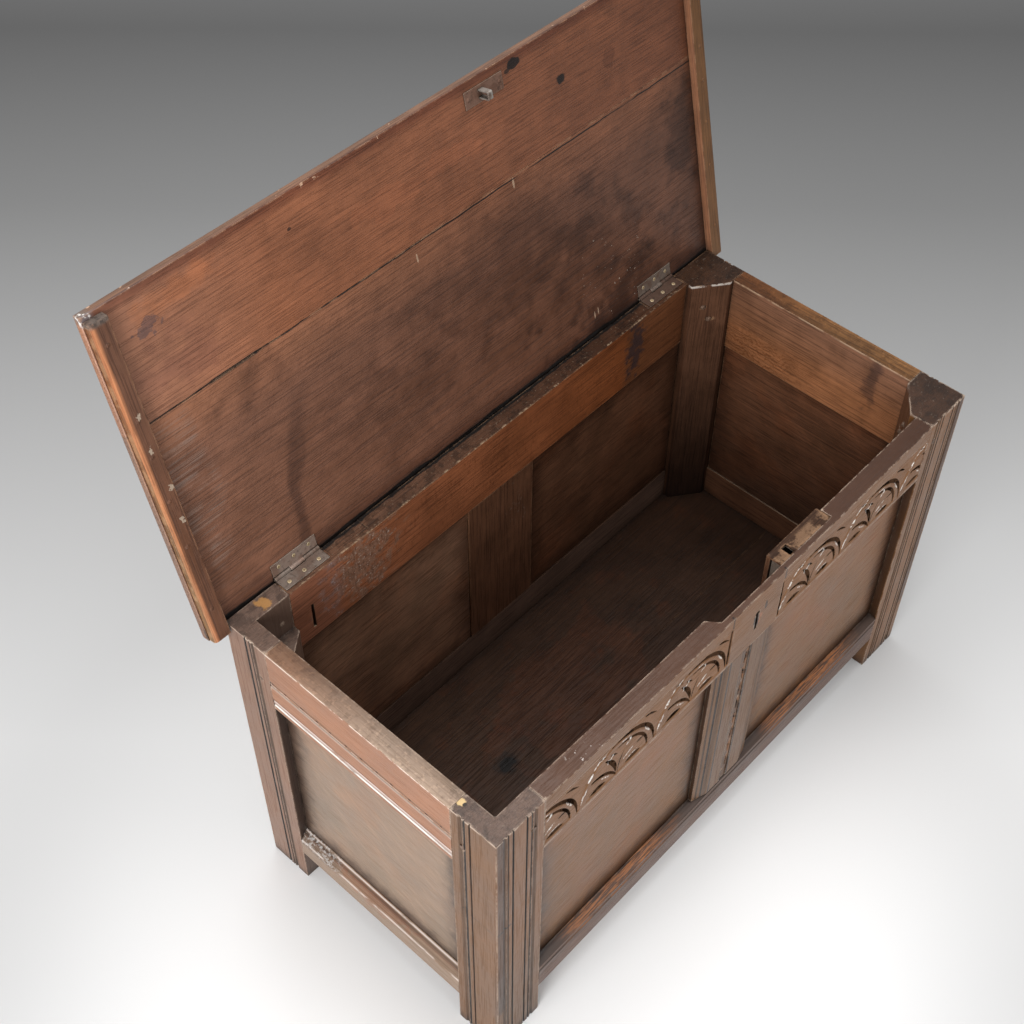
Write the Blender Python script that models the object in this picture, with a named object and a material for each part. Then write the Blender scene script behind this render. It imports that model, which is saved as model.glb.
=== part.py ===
"""Joined oak coffer with a carved front rail, standing with its lid open against its back."""

import math
from collections import namedtuple

import bmesh
import bpy
from mathutils import Vector

# Carcass, in metres
WIDTH = 1.000
DEPTH = 0.477
HEIGHT = 0.592
FOOT_HEIGHT = 0.075

# Fits
GAP = 0.0003
PLAY = 0.002
OVERCUT = 0.004

# Stiles, tapering inside from the panel edges to the corner
STILE_FACE = 0.085
STILE_SIDE = 0.075
STILE_FACE_EDGE = 0.038
STILE_SIDE_EDGE = 0.036

# Rails: height outside, and how much further the inner lip laps the panel
RAIL_THICKNESS = 0.028
FRONT_TOP_RAIL = 0.116
REAR_TOP_RAIL = 0.116
SIDE_TOP_RAIL = 0.1235
REAR_TOP_LIP = 0.006
SIDE_TOP_LIP = 0.0165
FRONT_BOTTOM_RAIL = 0.062
REAR_BOTTOM_RAIL = 0.070
SIDE_BOTTOM_RAIL = 0.056
FRONT_BOTTOM_LIP = 0.018
REAR_BOTTOM_LIP = 0.016
SIDE_BOTTOM_LIP = 0.026
FRONT_RAIL_SAG = 0.006
FRONT_LEDGE_RISE = 0.005
SIDE_LEDGE_RISE = 0.019

# Muntins
FRONT_MUNTIN = 0.130
FRONT_MUNTIN_SLOPE = 0.027
FRONT_MUNTIN_FALL = 0.008
FRONT_MUNTIN_CHANNEL = 0.015
CHANNEL_DEPTH = 0.0015
REAR_MUNTIN = 0.140
REAR_MUNTIN_X = -0.010

# Panels
PANEL_RECESS = 0.015
TONGUE = 0.006
GROOVE_DEPTH = 0.008
PANEL_MARGIN = 0.001

# Scratch mouldings, placed by shares of the piece's width and turned round where the first share is larger.
# On the rails they are two V grooves with a low bead between; on the stiles a cove, a slight V and a deep V.
MOULD_DEPTH = 0.0028
RAIL_MOULD = ((0.0, 0.0), (0.18, 1.0), (0.36, 0.2), (0.64, 0.2), (0.82, 1.0), (1.0, 0.0))
COVE = ((0.0, 0.0), (0.09, 0.65), (0.22, 0.65), (0.31, 0.0))
STILE_MOULD = COVE + ((0.40, 0.0), (0.48, 0.7), (0.56, 0.0), (0.84, 0.0), (0.92, 1.0), (1.0, 0.0))
FACE_MOULDS = ((0.14, 0.37), (0.85, 0.62))
FRONT_END_MOULDS = ((0.83, 0.56),)
REAR_END_MOULDS = ((0.72, 0.47),)
SIDE_RAIL_MOULDS = ((0.05, 0.17), (0.41, 0.51))
FRONT_RAIL_MOULDS = ((0.76, 0.92),)
LEDGE_STEPS = ((0.15, 0.10), (0.17, 0.28), (0.40, 0.42), (0.44, 0.64), (0.75, 0.84))

# Joints
FACE_TENON = 0.045
SIDE_TENON = 0.038
MUNTIN_TENON = 0.022
MUNTIN_SHOULDER = 0.020
TENON_EDGE = 0.014
TENON_FRONT = 0.32
TENON_BACK = 0.68
PEG_RADIUS = 0.004
PEG_INSET = 0.018
PEG_PROUD = 0.0015
PEG_BLIND = 0.86
PEG_SIDES = 8
FACE_PEG_SHARE = 0.64
SIDE_PEG_SHARE = 0.40

# Floor
FLOOR_RISE = 0.022
FLOOR_THICKNESS = 0.014
FLOOR_HOUSING = 0.006
FLOOR_JOINT_Y = 0.021
FLOOR_MARGIN = 0.001

# Corner posts cut down at the left for the lost till, and the slot of its edge
TILL_REAR_CUT = 0.070
TILL_FRONT_CUT = 0.120
TILL_FILLET_TOP = 0.015
TILL_FILLET_FACE = 0.016
TILL_FILLET_SIDE = 0.013
TILL_SLOT_INSET = 0.034
TILL_SLOT_WIDTH = 0.005
TILL_SLOT_TOP = 0.054
TILL_SLOT_LENGTH = 0.049

# Lid
LID_OPEN = math.radians(102.6)
LID_END_OVERHANG = 0.029
LID_FRONT_OVERHANG = 0.0054
LID_THICKNESS = 0.019
LID_EDGE = 0.008
LID_JOINT_LEFT_SHARE = 0.6536
LID_JOINT_RIGHT_SHARE = 0.6742
LID_REST = 0.0005
CLEAT_CLEARANCE = 0.002
CLEAT_INSET = 0.0015
CLEAT_DEPTH = 0.012
CLEAT_ROUND = 0.005
CLEAT_SETBACK = 0.006

# Butt hinges
HINGE_LENGTH = 0.077
HINGE_INSET = 0.0025
HINGE_BACKSET = 0.0026
HINGE_RISE = 0.001
HINGE_SPLIT = 0.0002
LEAF_WIDTH = 0.0235
LEAF_THICKNESS = 0.0018
BARREL_RADIUS = 0.0038
BARREL_CLEARANCE = 0.0008
PIN_RADIUS = 0.0016
PIN_TIP = 0.0008
KNUCKLE_SHARE = 0.34
SCREW_SHARES = (-0.34, 0.0, 0.34)
SCREW_SETBACK = 0.015
SCREW_HEAD = 0.0032
SCREW_SHANK = 0.0014
SCREW_LENGTH = 0.012
SCAR_LENGTH = 0.066
SCAR_OFFSET = 0.003
SCAR_DEPTH = 0.0012
ROUND_SIDES = 16
SCREW_SIDES = 12

# Nail heads, each one with the piece that it holds
NAIL_HEAD = 0.0034
NAIL_HEAD_HEIGHT = 0.0011
NAIL_SIDES = 8
CLEAT_NAIL_SHARES = (0.08, 0.30, 0.45, 0.59, 0.70, 0.92)

# Recess of the first lock and its keyhole, with shares of the front rail's height
RECESS_WALL = 0.010
RECESS_SHARE = 0.76
RECESS_LEFT = -0.077
RECESS_SLANT = 0.014
OLD_KEYHOLE_X = 0.010
OLD_KEYHOLE_TOP_SHARE = 0.38
OLD_KEYHOLE_LENGTH_SHARE = 0.345
OLD_KEYHOLE_WIDTH = 0.006
OLD_KEYHOLE_RADIUS = 0.005

# Later lock: cover, case, bolt and spring, with shares of the lock's width and of the rail's height
LOCK_LEFT = 0.067
LOCK_WIDTH = 0.113
COVER_BOARD = 0.0065
COVER_TOP = 0.0035
COVER_LAP_SHARE = 0.155
CASE_WALL = 0.0012
CASE_SETBACK = 0.0045
CASE_HEIGHT_SHARE = 0.55
BOLT_THICKNESS = 0.005
BOLT_HEIGHT = 0.0045
BOLT_STEP = 0.0027
BOLT_CLEARANCE = 0.006
BOLT_TAIL_SHARE = 0.133
BOLT_TAIL_WIDTH_SHARE = 0.106
BOLT_TAIL_DROP = 0.015
BOLT_STEP_SHARE = 0.274
BOLT_LENGTH_SHARE = 0.496
SHELF_THICKNESS = 0.002
SPRING_THICKNESS = 0.0008
SPRING_DEPTH = 0.004
SPRING_SHARE = 0.265
KEYHOLE_SHARE = 0.5265
KEYHOLE_TOP_SHARE = 0.276
KEYHOLE_LENGTH_SHARE = 0.2155
KEYHOLE_WIDTH = 0.006
COVER_NAIL_SHARES = (0.14, 0.50, 0.86)

# Staple of the lid
STAPLE_SHARE = 0.24
STAPLE_SETBACK_SHARE = 0.70
STAPLE_STRIP = 0.008
STAPLE_THICKNESS = 0.002
STAPLE_WIDTH = 0.0125
STAPLE_CHAMFER = 0.0015
STAPLE_TANG = 0.012
STAPLE_PLAY = 0.0015
STAPLE_UNDER_BOLT = 0.0006
PLATE_OFFSET = 0.006
PLATE_LENGTH = 0.070
PLATE_WIDTH = 0.024
PLATE_THICKNESS = 0.0015
PLATE_LET_IN = 0.0007
PLATE_NAIL_INSET = 0.006

# Carving of the front top rail: interlaced half-round straps on a base line, with a gouge in each cell
BLOCK_LEFT = -0.047
BLOCK_RIGHT = 0.066
CARVE_MARGIN = 0.005
CARVE_FOOT = 0.0096
CARVE_WIDTH = 0.005
CARVE_DEPTH = 0.003
LUNETTE_RADIUS = 0.0735
LUNETTE_STRAP = 0.014
LUNETTE_PITCH = 0.075
LUNETTE_COUNT = 5
LUNETTE_STEPS = 24
LEFT_LUNETTE_X = -0.1236
RIGHT_LUNETTE_X = 0.139
GOUGE_RISE = 0.009
GOUGE_LENGTH = 0.036
GOUGE_RADIUS = 0.005

# Looks: colour, roughness, metallic
OAK = ((0.19, 0.115, 0.065, 1.0), 0.55, 0.0)
OAK_PANEL = ((0.23, 0.14, 0.078, 1.0), 0.55, 0.0)
OAK_INSIDE = ((0.15, 0.082, 0.048, 1.0), 0.65, 0.0)
OAK_LID = ((0.17, 0.085, 0.048, 1.0), 0.45, 0.0)
OAK_PEG = ((0.13, 0.075, 0.042, 1.0), 0.6, 0.0)
IRON = ((0.09, 0.075, 0.065, 1.0), 0.5, 1.0)
BRASS = ((0.45, 0.33, 0.17, 1.0), 0.45, 1.0)

# Values derived from the sizes above
GROOVE_FRONT = PANEL_RECESS - GAP
GROOVE_BACK = PANEL_RECESS + TONGUE + GAP
FACE_SHOULDER = WIDTH / 2 - STILE_FACE
SIDE_SHOULDER = DEPTH / 2 - STILE_SIDE
CHAMFER_SLOPE = (STILE_SIDE - STILE_FACE_EDGE) / (STILE_FACE - STILE_SIDE_EDGE)
HINGE_Y = DEPTH / 2 + HINGE_BACKSET
HINGE_Z = HEIGHT + HINGE_RISE
HINGE_X = FACE_SHOULDER - HINGE_INSET - HINGE_LENGTH / 2
LID_HALF_WIDTH = WIDTH / 2 + LID_END_OVERHANG
LID_FRONT = DEPTH + HINGE_BACKSET + LID_FRONT_OVERHANG
LID_UNDER = HINGE_RISE
LID_TOP = LID_UNDER + LID_THICKNESS
LEAF_LET_IN = LEAF_THICKNESS + HINGE_SPLIT - HINGE_RISE
LID_BACK = (HINGE_BACKSET + LID_UNDER * math.sin(LID_OPEN) - GAP) / -math.cos(LID_OPEN)
LID_SWEEP = (LID_EDGE - LID_FRONT) * math.cos(LID_OPEN) + (LID_TOP - LID_EDGE) * math.sin(LID_OPEN) + LID_EDGE
CENTRE_Y = (HINGE_Y + LID_SWEEP - DEPTH / 2) / 2
CLEAT_INNER = WIDTH / 2 + CLEAT_CLEARANCE
CLEAT_OUTER = LID_HALF_WIDTH - CLEAT_INSET
STAPLE_SETBACK = RAIL_THICKNESS * STAPLE_SETBACK_SHARE
STAPLE_X = LOCK_LEFT + LOCK_WIDTH * STAPLE_SHARE
STAPLE_V = DEPTH + HINGE_BACKSET - STAPLE_SETBACK
PLATE_X = STAPLE_X + PLATE_OFFSET
UP = Vector((0.0, 0.0, 1.0))
BACK = Vector((0.0, 1.0, 0.0))

Wall = namedtuple("Wall", "name place half shoulder tenon top top_lip bottom bottom_lip rise muntin muntin_x")


def place_plain(x, y, z):
    return Vector((x, y, z))


def place_front(s, d, z):
    return Vector((s, -DEPTH / 2 + d, z))


def place_rear(s, d, z):
    return Vector((s, DEPTH / 2 - d, z))


def place_left(s, d, z):
    return Vector((-WIDTH / 2 + d, s, z))


def place_right(s, d, z):
    return Vector((WIDTH / 2 - d, s, z))


def place_lid(x, v, w):
    """A point of the closed lid: v runs forward from the hinge pin, w up from it."""
    return Vector((x, -v, w))


def make_wall(name, place, muntin, muntin_x):
    side = name in ("left", "right")
    half = DEPTH / 2 if side else WIDTH / 2
    shoulder = SIDE_SHOULDER if side else FACE_SHOULDER
    tenon = SIDE_TENON if side else FACE_TENON
    top_rail = {"front": FRONT_TOP_RAIL, "rear": REAR_TOP_RAIL}.get(name, SIDE_TOP_RAIL)
    top_lip = {"front": 0.0, "rear": REAR_TOP_LIP}.get(name, SIDE_TOP_LIP)
    bottom_rail = {"front": FRONT_BOTTOM_RAIL, "rear": REAR_BOTTOM_RAIL}.get(name, SIDE_BOTTOM_RAIL)
    bottom_lip = {"front": FRONT_BOTTOM_LIP, "rear": REAR_BOTTOM_LIP}.get(name, SIDE_BOTTOM_LIP)
    rise = {"front": FRONT_LEDGE_RISE, "rear": 0.0}.get(name, SIDE_LEDGE_RISE)
    top = HEIGHT - top_rail
    bottom = FOOT_HEIGHT + bottom_rail
    return Wall(name, place, half, shoulder, tenon, top, top - top_lip, bottom, bottom + bottom_lip, rise,
                muntin, muntin_x)


FRONT = make_wall("front", place_front, FRONT_MUNTIN, 0.0)
REAR = make_wall("rear", place_rear, REAR_MUNTIN, REAR_MUNTIN_X)
LEFT = make_wall("left", place_left, 0.0, 0.0)
RIGHT = make_wall("right", place_right, 0.0, 0.0)
WALLS = (FRONT, REAR, LEFT, RIGHT)

for stale in list(bpy.data.objects):
    bpy.data.objects.remove(stale, do_unlink=True)


def add_empty(name, parent, location, rotation=(0.0, 0.0, 0.0)):
    empty = bpy.data.objects.new(name, None)
    empty.location = location
    empty.rotation_euler = rotation
    empty.parent = parent
    bpy.context.collection.objects.link(empty)
    return empty


COFFER = add_empty("coffer", None, (0.0, -CENTRE_Y, 0.0))
LID = add_empty("lid_hinge", COFFER, (0.0, HINGE_Y, HINGE_Z), (-LID_OPEN, 0.0, 0.0))


def link_mesh(name, shape, parent):
    bmesh.ops.recalc_face_normals(shape, faces=shape.faces)
    mesh = bpy.data.meshes.new(name)
    shape.to_mesh(mesh)
    shape.free()
    obj = bpy.data.objects.new(name, mesh)
    obj.parent = parent
    bpy.context.collection.objects.link(obj)
    return obj


def add_piece(name, shape, look, parent=COFFER, smooth=False):
    """Make a named piece with its own material."""
    obj = link_mesh(name, shape, parent)
    colour, roughness, metallic = look
    material = bpy.data.materials.new(name + "_finish")
    material.use_nodes = True
    shader = material.node_tree.nodes["Principled BSDF"]
    shader.inputs["Base Color"].default_value = colour
    shader.inputs["Roughness"].default_value = roughness
    shader.inputs["Metallic"].default_value = metallic
    obj.data.materials.append(material)
    if smooth:
        obj.data.shade_smooth()
    return obj


def combine(obj, shape, operation, suffix):
    """Cut a shape out of a piece, or join it on."""
    tool = link_mesh(obj.name + suffix, shape, obj.parent)
    tool.hide_render = True
    tool.display_type = "WIRE"
    step = obj.modifiers.new(suffix.strip("_"), "BOOLEAN")
    step.object = tool
    step.operation = operation
    step.solver = "EXACT"
    step.use_self = True


def cut(obj, shape):
    combine(obj, shape, "DIFFERENCE", "_cutter")


def join(obj, shape):
    combine(obj, shape, "UNION", "_addition")


def soften(obj, wanted, width, segments):
    """Round over the edges whose two ends are both wanted."""
    mesh = obj.data
    weights = mesh.attributes.new("bevel_weight_edge", "FLOAT", "EDGE")
    for edge in mesh.edges:
        ends = [mesh.vertices[index].co for index in edge.vertices]
        weights.data[edge.index].value = 1.0 if wanted(*ends) else 0.0
    step = obj.modifiers.new("round", "BEVEL")
    step.limit_method = "WEIGHT"
    step.width = width
    step.segments = segments


def add_prism(shape, first, second):
    """Add a closed prism between two matching outlines."""
    near = [shape.verts.new(point) for point in first]
    far = [shape.verts.new(point) for point in second]
    shape.faces.new(near)
    shape.faces.new(far)
    for index in range(len(near)):
        after = (index + 1) % len(near)
        shape.faces.new((near[index], near[after], far[after], far[index]))


def add_box(shape, place, s, d, z):
    corners = ((s[0], d[0]), (s[1], d[0]), (s[1], d[1]), (s[0], d[1]))
    add_prism(shape, [place(a, b, z[0]) for a, b in corners], [place(a, b, z[1]) for a, b in corners])


def add_along_s(shape, place, outline, s):
    add_prism(shape, [place(s[0], d, z) for d, z in outline], [place(s[1], d, z) for d, z in outline])


def add_along_d(shape, place, outline, d):
    add_prism(shape, [place(s, d[0], z) for s, z in outline], [place(s, d[1], z) for s, z in outline])


def add_along_z(shape, place, outline, z):
    add_prism(shape, [place(s, d, z[0]) for s, d in outline], [place(s, d, z[1]) for s, d in outline])


def add_turned(shape, base, axis, profile, sides):
    """Add a turned solid: profile is (radius, height along the axis), starting and ending on the axis."""
    up = axis.normalized()
    across = up.orthogonal().normalized()
    beside = up.cross(across)
    start = shape.verts.new(base + up * profile[0][1])
    finish = shape.verts.new(base + up * profile[-1][1])
    rings = []
    for radius, height in profile[1:-1]:
        ring = []
        for index in range(sides):
            turn = math.tau * (index + 0.5) / sides
            spoke = across * math.cos(turn) + beside * math.sin(turn)
            ring.append(shape.verts.new(base + up * height + spoke * radius))
        rings.append(ring)
    for index in range(sides):
        after = (index + 1) % sides
        shape.faces.new((start, rings[0][index], rings[0][after]))
        for low, high in zip(rings, rings[1:]):
            shape.faces.new((low[index], low[after], high[after], high[index]))
        shape.faces.new((finish, rings[-1][after], rings[-1][index]))


def add_rod(shape, start, end, radius, sides):
    length = (end - start).length
    add_turned(shape, start, end - start, ((0.0, 0.0), (radius, 0.0), (radius, length), (0.0, length)), sides)


def mouldings(spans, width, profile):
    """Points (position, depth) of the scratch mouldings across a face of the given width."""
    points = []
    for start, end in spans:
        for share, depth in profile:
            points.append(((start + (end - start) * share) * width, depth * MOULD_DEPTH))
    return sorted(points)


# Positions shared by the pieces of a joint
TENON_D = (RAIL_THICKNESS * TENON_FRONT, RAIL_THICKNESS * TENON_BACK)
MORTISE_D = (TENON_D[0] - GAP, TENON_D[1] + GAP)
GROOVE_D = (GROOVE_FRONT, GROOVE_BACK)
FLOOR_TOP = FOOT_HEIGHT + FLOOR_RISE
FLOOR_Z = (FLOOR_TOP - FLOOR_THICKNESS, FLOOR_TOP)


def tenon_heights(wall):
    top = (wall.top + TENON_EDGE, HEIGHT - TENON_EDGE)
    bottom = (FOOT_HEIGHT + TENON_EDGE, wall.bottom - TENON_EDGE)
    return top, bottom


def end_names(wall):
    return ("front", "rear") if wall in (LEFT, RIGHT) else ("left", "right")


def rail_pegs(wall):
    """Pegs at the two ends of a wall's top rail: (end name, s, z, length)."""
    side = wall in (LEFT, RIGHT)
    low, high = tenon_heights(wall)[0]
    z = low + (high - low) * (SIDE_PEG_SHARE if side else FACE_PEG_SHARE)
    blind = RAIL_THICKNESS * PEG_BLIND
    if side:
        through = STILE_SIDE_EDGE + PEG_INSET / CHAMFER_SLOPE + PEG_PROUD
    else:
        through = STILE_FACE_EDGE + PEG_INSET * CHAMFER_SLOPE + PEG_PROUD
    pegs = []
    for name, end in zip(end_names(wall), (-1, 1)):
        cut_down = "left" in (wall.name, name)
        pegs.append((name, end * (wall.shoulder + PEG_INSET), z, blind if cut_down else through))
    return pegs


def add_peg_holes(shape, wall, ends):
    for name, s, z, length in rail_pegs(wall):
        if name in ends:
            depth = length + PLAY / 2
            add_rod(shape, wall.place(s, -OVERCUT, z), wall.place(s, depth, z), PEG_RADIUS + GAP, PEG_SIDES)


def make_pegs(wall):
    for name, s, z, length in rail_pegs(wall):
        shape = bmesh.new()
        add_rod(shape, wall.place(s, 0.0, z), wall.place(s, length, z), PEG_RADIUS, PEG_SIDES)
        add_piece(f"{wall.name}_{name}_peg", shape, OAK_PEG)


def make_stile(x_name, y_name):
    """A corner stile, its section drawn from the outer corner: u along the face, v along the end."""
    face_wall = FRONT if y_name == "front" else REAR
    end_wall = LEFT if x_name == "left" else RIGHT
    x_side = -1 if x_name == "left" else 1
    y_side = -1 if y_name == "front" else 1

    def place(u, v, z):
        return Vector((x_side * (WIDTH / 2 - u), y_side * (DEPTH / 2 - v), z))

    face_moulds = FACE_MOULDS if y_name == "front" else ()
    end_moulds = FRONT_END_MOULDS if y_name == "front" else REAR_END_MOULDS
    outline = [(0.0, 0.0)]
    outline += [(u, depth) for u, depth in mouldings(face_moulds, STILE_FACE, STILE_MOULD)]
    outline += [(STILE_FACE, 0.0), (STILE_FACE, STILE_FACE_EDGE)]
    outline += [(STILE_SIDE_EDGE, STILE_SIDE), (0.0, STILE_SIDE)]
    outline += [(depth, v) for v, depth in reversed(mouldings(end_moulds, STILE_SIDE, STILE_MOULD))]
    shape = bmesh.new()
    add_along_z(shape, place, outline, (0.0, HEIGHT))
    stile = add_piece(f"{y_name}_{x_name}_stile", shape, OAK)

    holes = bmesh.new()
    for wall, end, end_name in ((face_wall, x_side, x_name), (end_wall, y_side, y_name)):
        mouth = end * (wall.shoulder - OVERCUT)
        mortise = end * (wall.shoulder + wall.tenon + PLAY)
        groove = end * (wall.shoulder + GROOVE_DEPTH)
        for low, high in tenon_heights(wall):
            add_box(holes, wall.place, (mouth, mortise), MORTISE_D, (low - GAP, high + GAP))
        panel = (wall.bottom - GROOVE_DEPTH, wall.top + GROOVE_DEPTH)
        add_box(holes, wall.place, (mouth, groove), GROOVE_D, panel)
        add_peg_holes(holes, wall, (end_name,))
    if x_name == "left":
        arm = RAIL_THICKNESS
        past = STILE_FACE + OVERCUT
        if y_name == "rear":
            away = ((arm, arm), (past, arm), (past, past), (arm, past))
            add_along_z(holes, place, away, (HEIGHT - TILL_REAR_CUT, HEIGHT + OVERCUT))
        else:
            toe_face = (arm + TILL_FILLET_FACE, arm)
            toe_side = (arm, arm + TILL_FILLET_SIDE)
            away = (toe_face, (past, arm), (past, past), (arm, past), toe_side)
            add_along_z(holes, place, away, (HEIGHT - TILL_FRONT_CUT, HEIGHT + OVERCUT))
            fillet = ((arm, arm), (past, arm), (past, past), (arm, past))
            add_along_z(holes, place, fillet, (HEIGHT - TILL_FILLET_TOP, HEIGHT + OVERCUT))
    cut(stile, holes)


def add_tenon_waste(shape, wall, low, high, tenon):
    """The waste round the tenons at both ends of a rail that runs from low to high."""
    for end in (-1, 1):
        s = (end * (wall.shoulder - GAP), end * (wall.shoulder + wall.tenon + OVERCUT))
        below, above = low - OVERCUT, high + OVERCUT
        near, far = -OVERCUT, RAIL_THICKNESS + OVERCUT
        add_box(shape, wall.place, s, (near, TENON_D[0]), (below, above))
        add_box(shape, wall.place, s, (TENON_D[1], far), (below, above))
        add_box(shape, wall.place, s, (near, far), (below, tenon[0]))
        add_box(shape, wall.place, s, (near, far), (tenon[1], above))


def add_muntin_mortise(shape, wall, edge, reach):
    if not wall.muntin:
        return
    half = wall.muntin / 2 - MUNTIN_SHOULDER + GAP
    s = (wall.muntin_x - half, wall.muntin_x + half)
    add_box(shape, wall.place, s, MORTISE_D, sorted((edge - math.copysign(OVERCUT, reach), edge + reach)))


def rail_top(s):
    """Height of the worn top of the front rail."""
    return HEIGHT - FRONT_RAIL_SAG * (1 - (s / FACE_SHOULDER) ** 2)


def add_groove(shape, points):
    """A V groove in the front rail's face along points (s, z, outward s, outward z)."""
    spread = CARVE_WIDTH / 2 * (CARVE_DEPTH + OVERCUT) / CARVE_DEPTH
    rings = []
    for s, z, out_s, out_z in points:
        edges = [(s + sign * spread * out_s, -OVERCUT, z + sign * spread * out_z) for sign in (-1, 1)]
        rings.append([shape.verts.new(place_front(*point)) for point in edges + [(s, CARVE_DEPTH, z)]])
    shape.faces.new(rings[0])
    shape.faces.new(rings[-1])
    for low, high in zip(rings, rings[1:]):
        for index in range(3):
            after = (index + 1) % 3
            shape.faces.new((low[index], low[after], high[after], high[index]))


def add_strap_edge(shape, band, centre, radius, over_centres):
    """One edge of a half-round strap, left out beyond its band and under the straps that pass over it."""
    foot = FRONT.top + CARVE_FOOT
    run = []
    for index in range(LUNETTE_STEPS + 1):
        turn = math.pi * index / LUNETTE_STEPS
        out_s, out_z = math.cos(turn), math.sin(turn)
        s, rise = centre + radius * out_s, radius * out_z
        reaches = [math.hypot(s - x, rise) for x in over_centres]
        hidden = any(-CARVE_WIDTH < LUNETTE_RADIUS - reach < LUNETTE_STRAP + CARVE_WIDTH for reach in reaches)
        if band[0] < s < band[1] and not hidden:
            run.append((s, foot + rise, out_s, out_z))
        else:
            if len(run) > 1:
                add_groove(shape, run)
            run = []
    if len(run) > 1:
        add_groove(shape, run)


def add_carving(shape):
    foot = FRONT.top + CARVE_FOOT
    left_band = (-FACE_SHOULDER + CARVE_MARGIN, BLOCK_LEFT - CARVE_MARGIN)
    right_band = (BLOCK_RIGHT + CARVE_MARGIN, FACE_SHOULDER - CARVE_MARGIN)
    pitch = LUNETTE_PITCH
    for band, first, step in ((left_band, LEFT_LUNETTE_X, -pitch), (right_band, RIGHT_LUNETTE_X, pitch)):
        over = [first + step * index for index in range(0, LUNETTE_COUNT, 2)]
        under = [first + step * index for index in range(-1, LUNETTE_COUNT, 2)]
        for radius in (LUNETTE_RADIUS, LUNETTE_RADIUS - LUNETTE_STRAP):
            for centre in over:
                add_strap_edge(shape, band, centre, radius, ())
            for centre in under:
                add_strap_edge(shape, band, centre, radius, over)
        for centre in over + under:
            middle = centre + step / 2
            if band[0] < middle - GOUGE_LENGTH / 2 and middle + GOUGE_LENGTH / 2 < band[1]:
                add_gouge(shape, middle, foot + GOUGE_RISE)
    for edge in (BLOCK_LEFT, BLOCK_RIGHT):
        add_groove(shape, [(edge, foot, 1.0, 0.0), (edge, foot + LUNETTE_RADIUS, 1.0, 0.0)])


def add_gouge(shape, s, z):
    """A lens-shaped gouge, cut by a spindle lying just outside the face."""
    half = GOUGE_LENGTH / 2
    profile = [(GOUGE_RADIUS * (1 - share * share), share * half) for share in (-1.0, -0.5, 0.0, 0.5, 1.0)]
    middle = place_front(s, CARVE_DEPTH - GOUGE_RADIUS, z)
    add_turned(shape, middle, Vector((1.0, 0.0, 0.0)), profile, SCREW_SIDES)


def add_top_rail_blank(shape, wall):
    length = wall.shoulder + wall.tenon
    if wall is FRONT:
        steps = 16
        crest = [FACE_SHOULDER * (1 - 2 * index / steps) for index in range(steps + 1)]
        outline = [(-length, wall.top), (length, wall.top), (length, HEIGHT)]
        outline += [(s, rail_top(s)) for s in crest]
        outline += [(-length, HEIGHT)]
        add_along_d(shape, wall.place, outline, (0.0, RAIL_THICKNESS))
        return
    moulds = mouldings(SIDE_RAIL_MOULDS, HEIGHT - wall.top, RAIL_MOULD) if wall is not REAR else []
    outline = [(0.0, HEIGHT), (RAIL_THICKNESS, HEIGHT), (RAIL_THICKNESS, wall.top_lip)]
    outline += [(GROOVE_BACK, wall.top_lip), (GROOVE_BACK, wall.top), (0.0, wall.top)]
    outline += [(depth, wall.top + z) for z, depth in moulds]
    add_along_s(shape, wall.place, outline, (-length, length))


def make_top_rail(wall):
    shape = bmesh.new()
    add_top_rail_blank(shape, wall)
    rail = add_piece(wall.name + "_top_rail", shape, OAK)
    waste = bmesh.new()
    add_tenon_waste(waste, wall, wall.top_lip, HEIGHT, tenon_heights(wall)[0])
    run = (-wall.shoulder - OVERCUT, wall.shoulder + OVERCUT)
    add_box(waste, wall.place, run, GROOVE_D, (wall.top_lip - OVERCUT, wall.top + GROOVE_DEPTH))
    add_muntin_mortise(waste, wall, wall.top, MUNTIN_TENON + PLAY)
    add_peg_holes(waste, wall, end_names(wall))
    if wall is FRONT:
        add_lock_recess(waste)
        add_carving(waste)
    if wall is REAR:
        add_hinge_recesses(waste)
    cut(rail, waste)


def make_bottom_rail(wall):
    length = wall.shoulder + wall.tenon
    face_top = wall.bottom - wall.rise
    outline = [(0.0, FOOT_HEIGHT), (RAIL_THICKNESS, FOOT_HEIGHT), (RAIL_THICKNESS, wall.bottom_lip)]
    outline += [(GROOVE_BACK, wall.bottom_lip), (GROOVE_BACK, wall.bottom), (GROOVE_FRONT, wall.bottom)]
    if wall in (LEFT, RIGHT):
        steps = reversed(LEDGE_STEPS)
        outline += [(run * GROOVE_FRONT, face_top + rise * wall.rise) for run, rise in steps]
    outline += [(0.0, face_top)]
    if wall is FRONT:
        moulds = mouldings(FRONT_RAIL_MOULDS, face_top - FOOT_HEIGHT, RAIL_MOULD)
        outline += [(depth, FOOT_HEIGHT + z) for z, depth in reversed(moulds)]
    shape = bmesh.new()
    add_along_s(shape, wall.place, outline, (-length, length))
    rail = add_piece(wall.name + "_bottom_rail", shape, OAK)
    waste = bmesh.new()
    add_tenon_waste(waste, wall, FOOT_HEIGHT, wall.bottom_lip, tenon_heights(wall)[1])
    run = (-wall.shoulder - OVERCUT, wall.shoulder + OVERCUT)
    add_box(waste, wall.place, run, GROOVE_D, (wall.bottom - GROOVE_DEPTH, wall.bottom_lip + OVERCUT))
    housing = (RAIL_THICKNESS - FLOOR_HOUSING - GAP, RAIL_THICKNESS + OVERCUT)
    add_box(waste, wall.place, run, housing, (FLOOR_Z[0] - GAP, FLOOR_Z[1] + GAP))
    add_muntin_mortise(waste, wall, wall.bottom, -MUNTIN_TENON - PLAY)
    cut(rail, waste)


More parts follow.
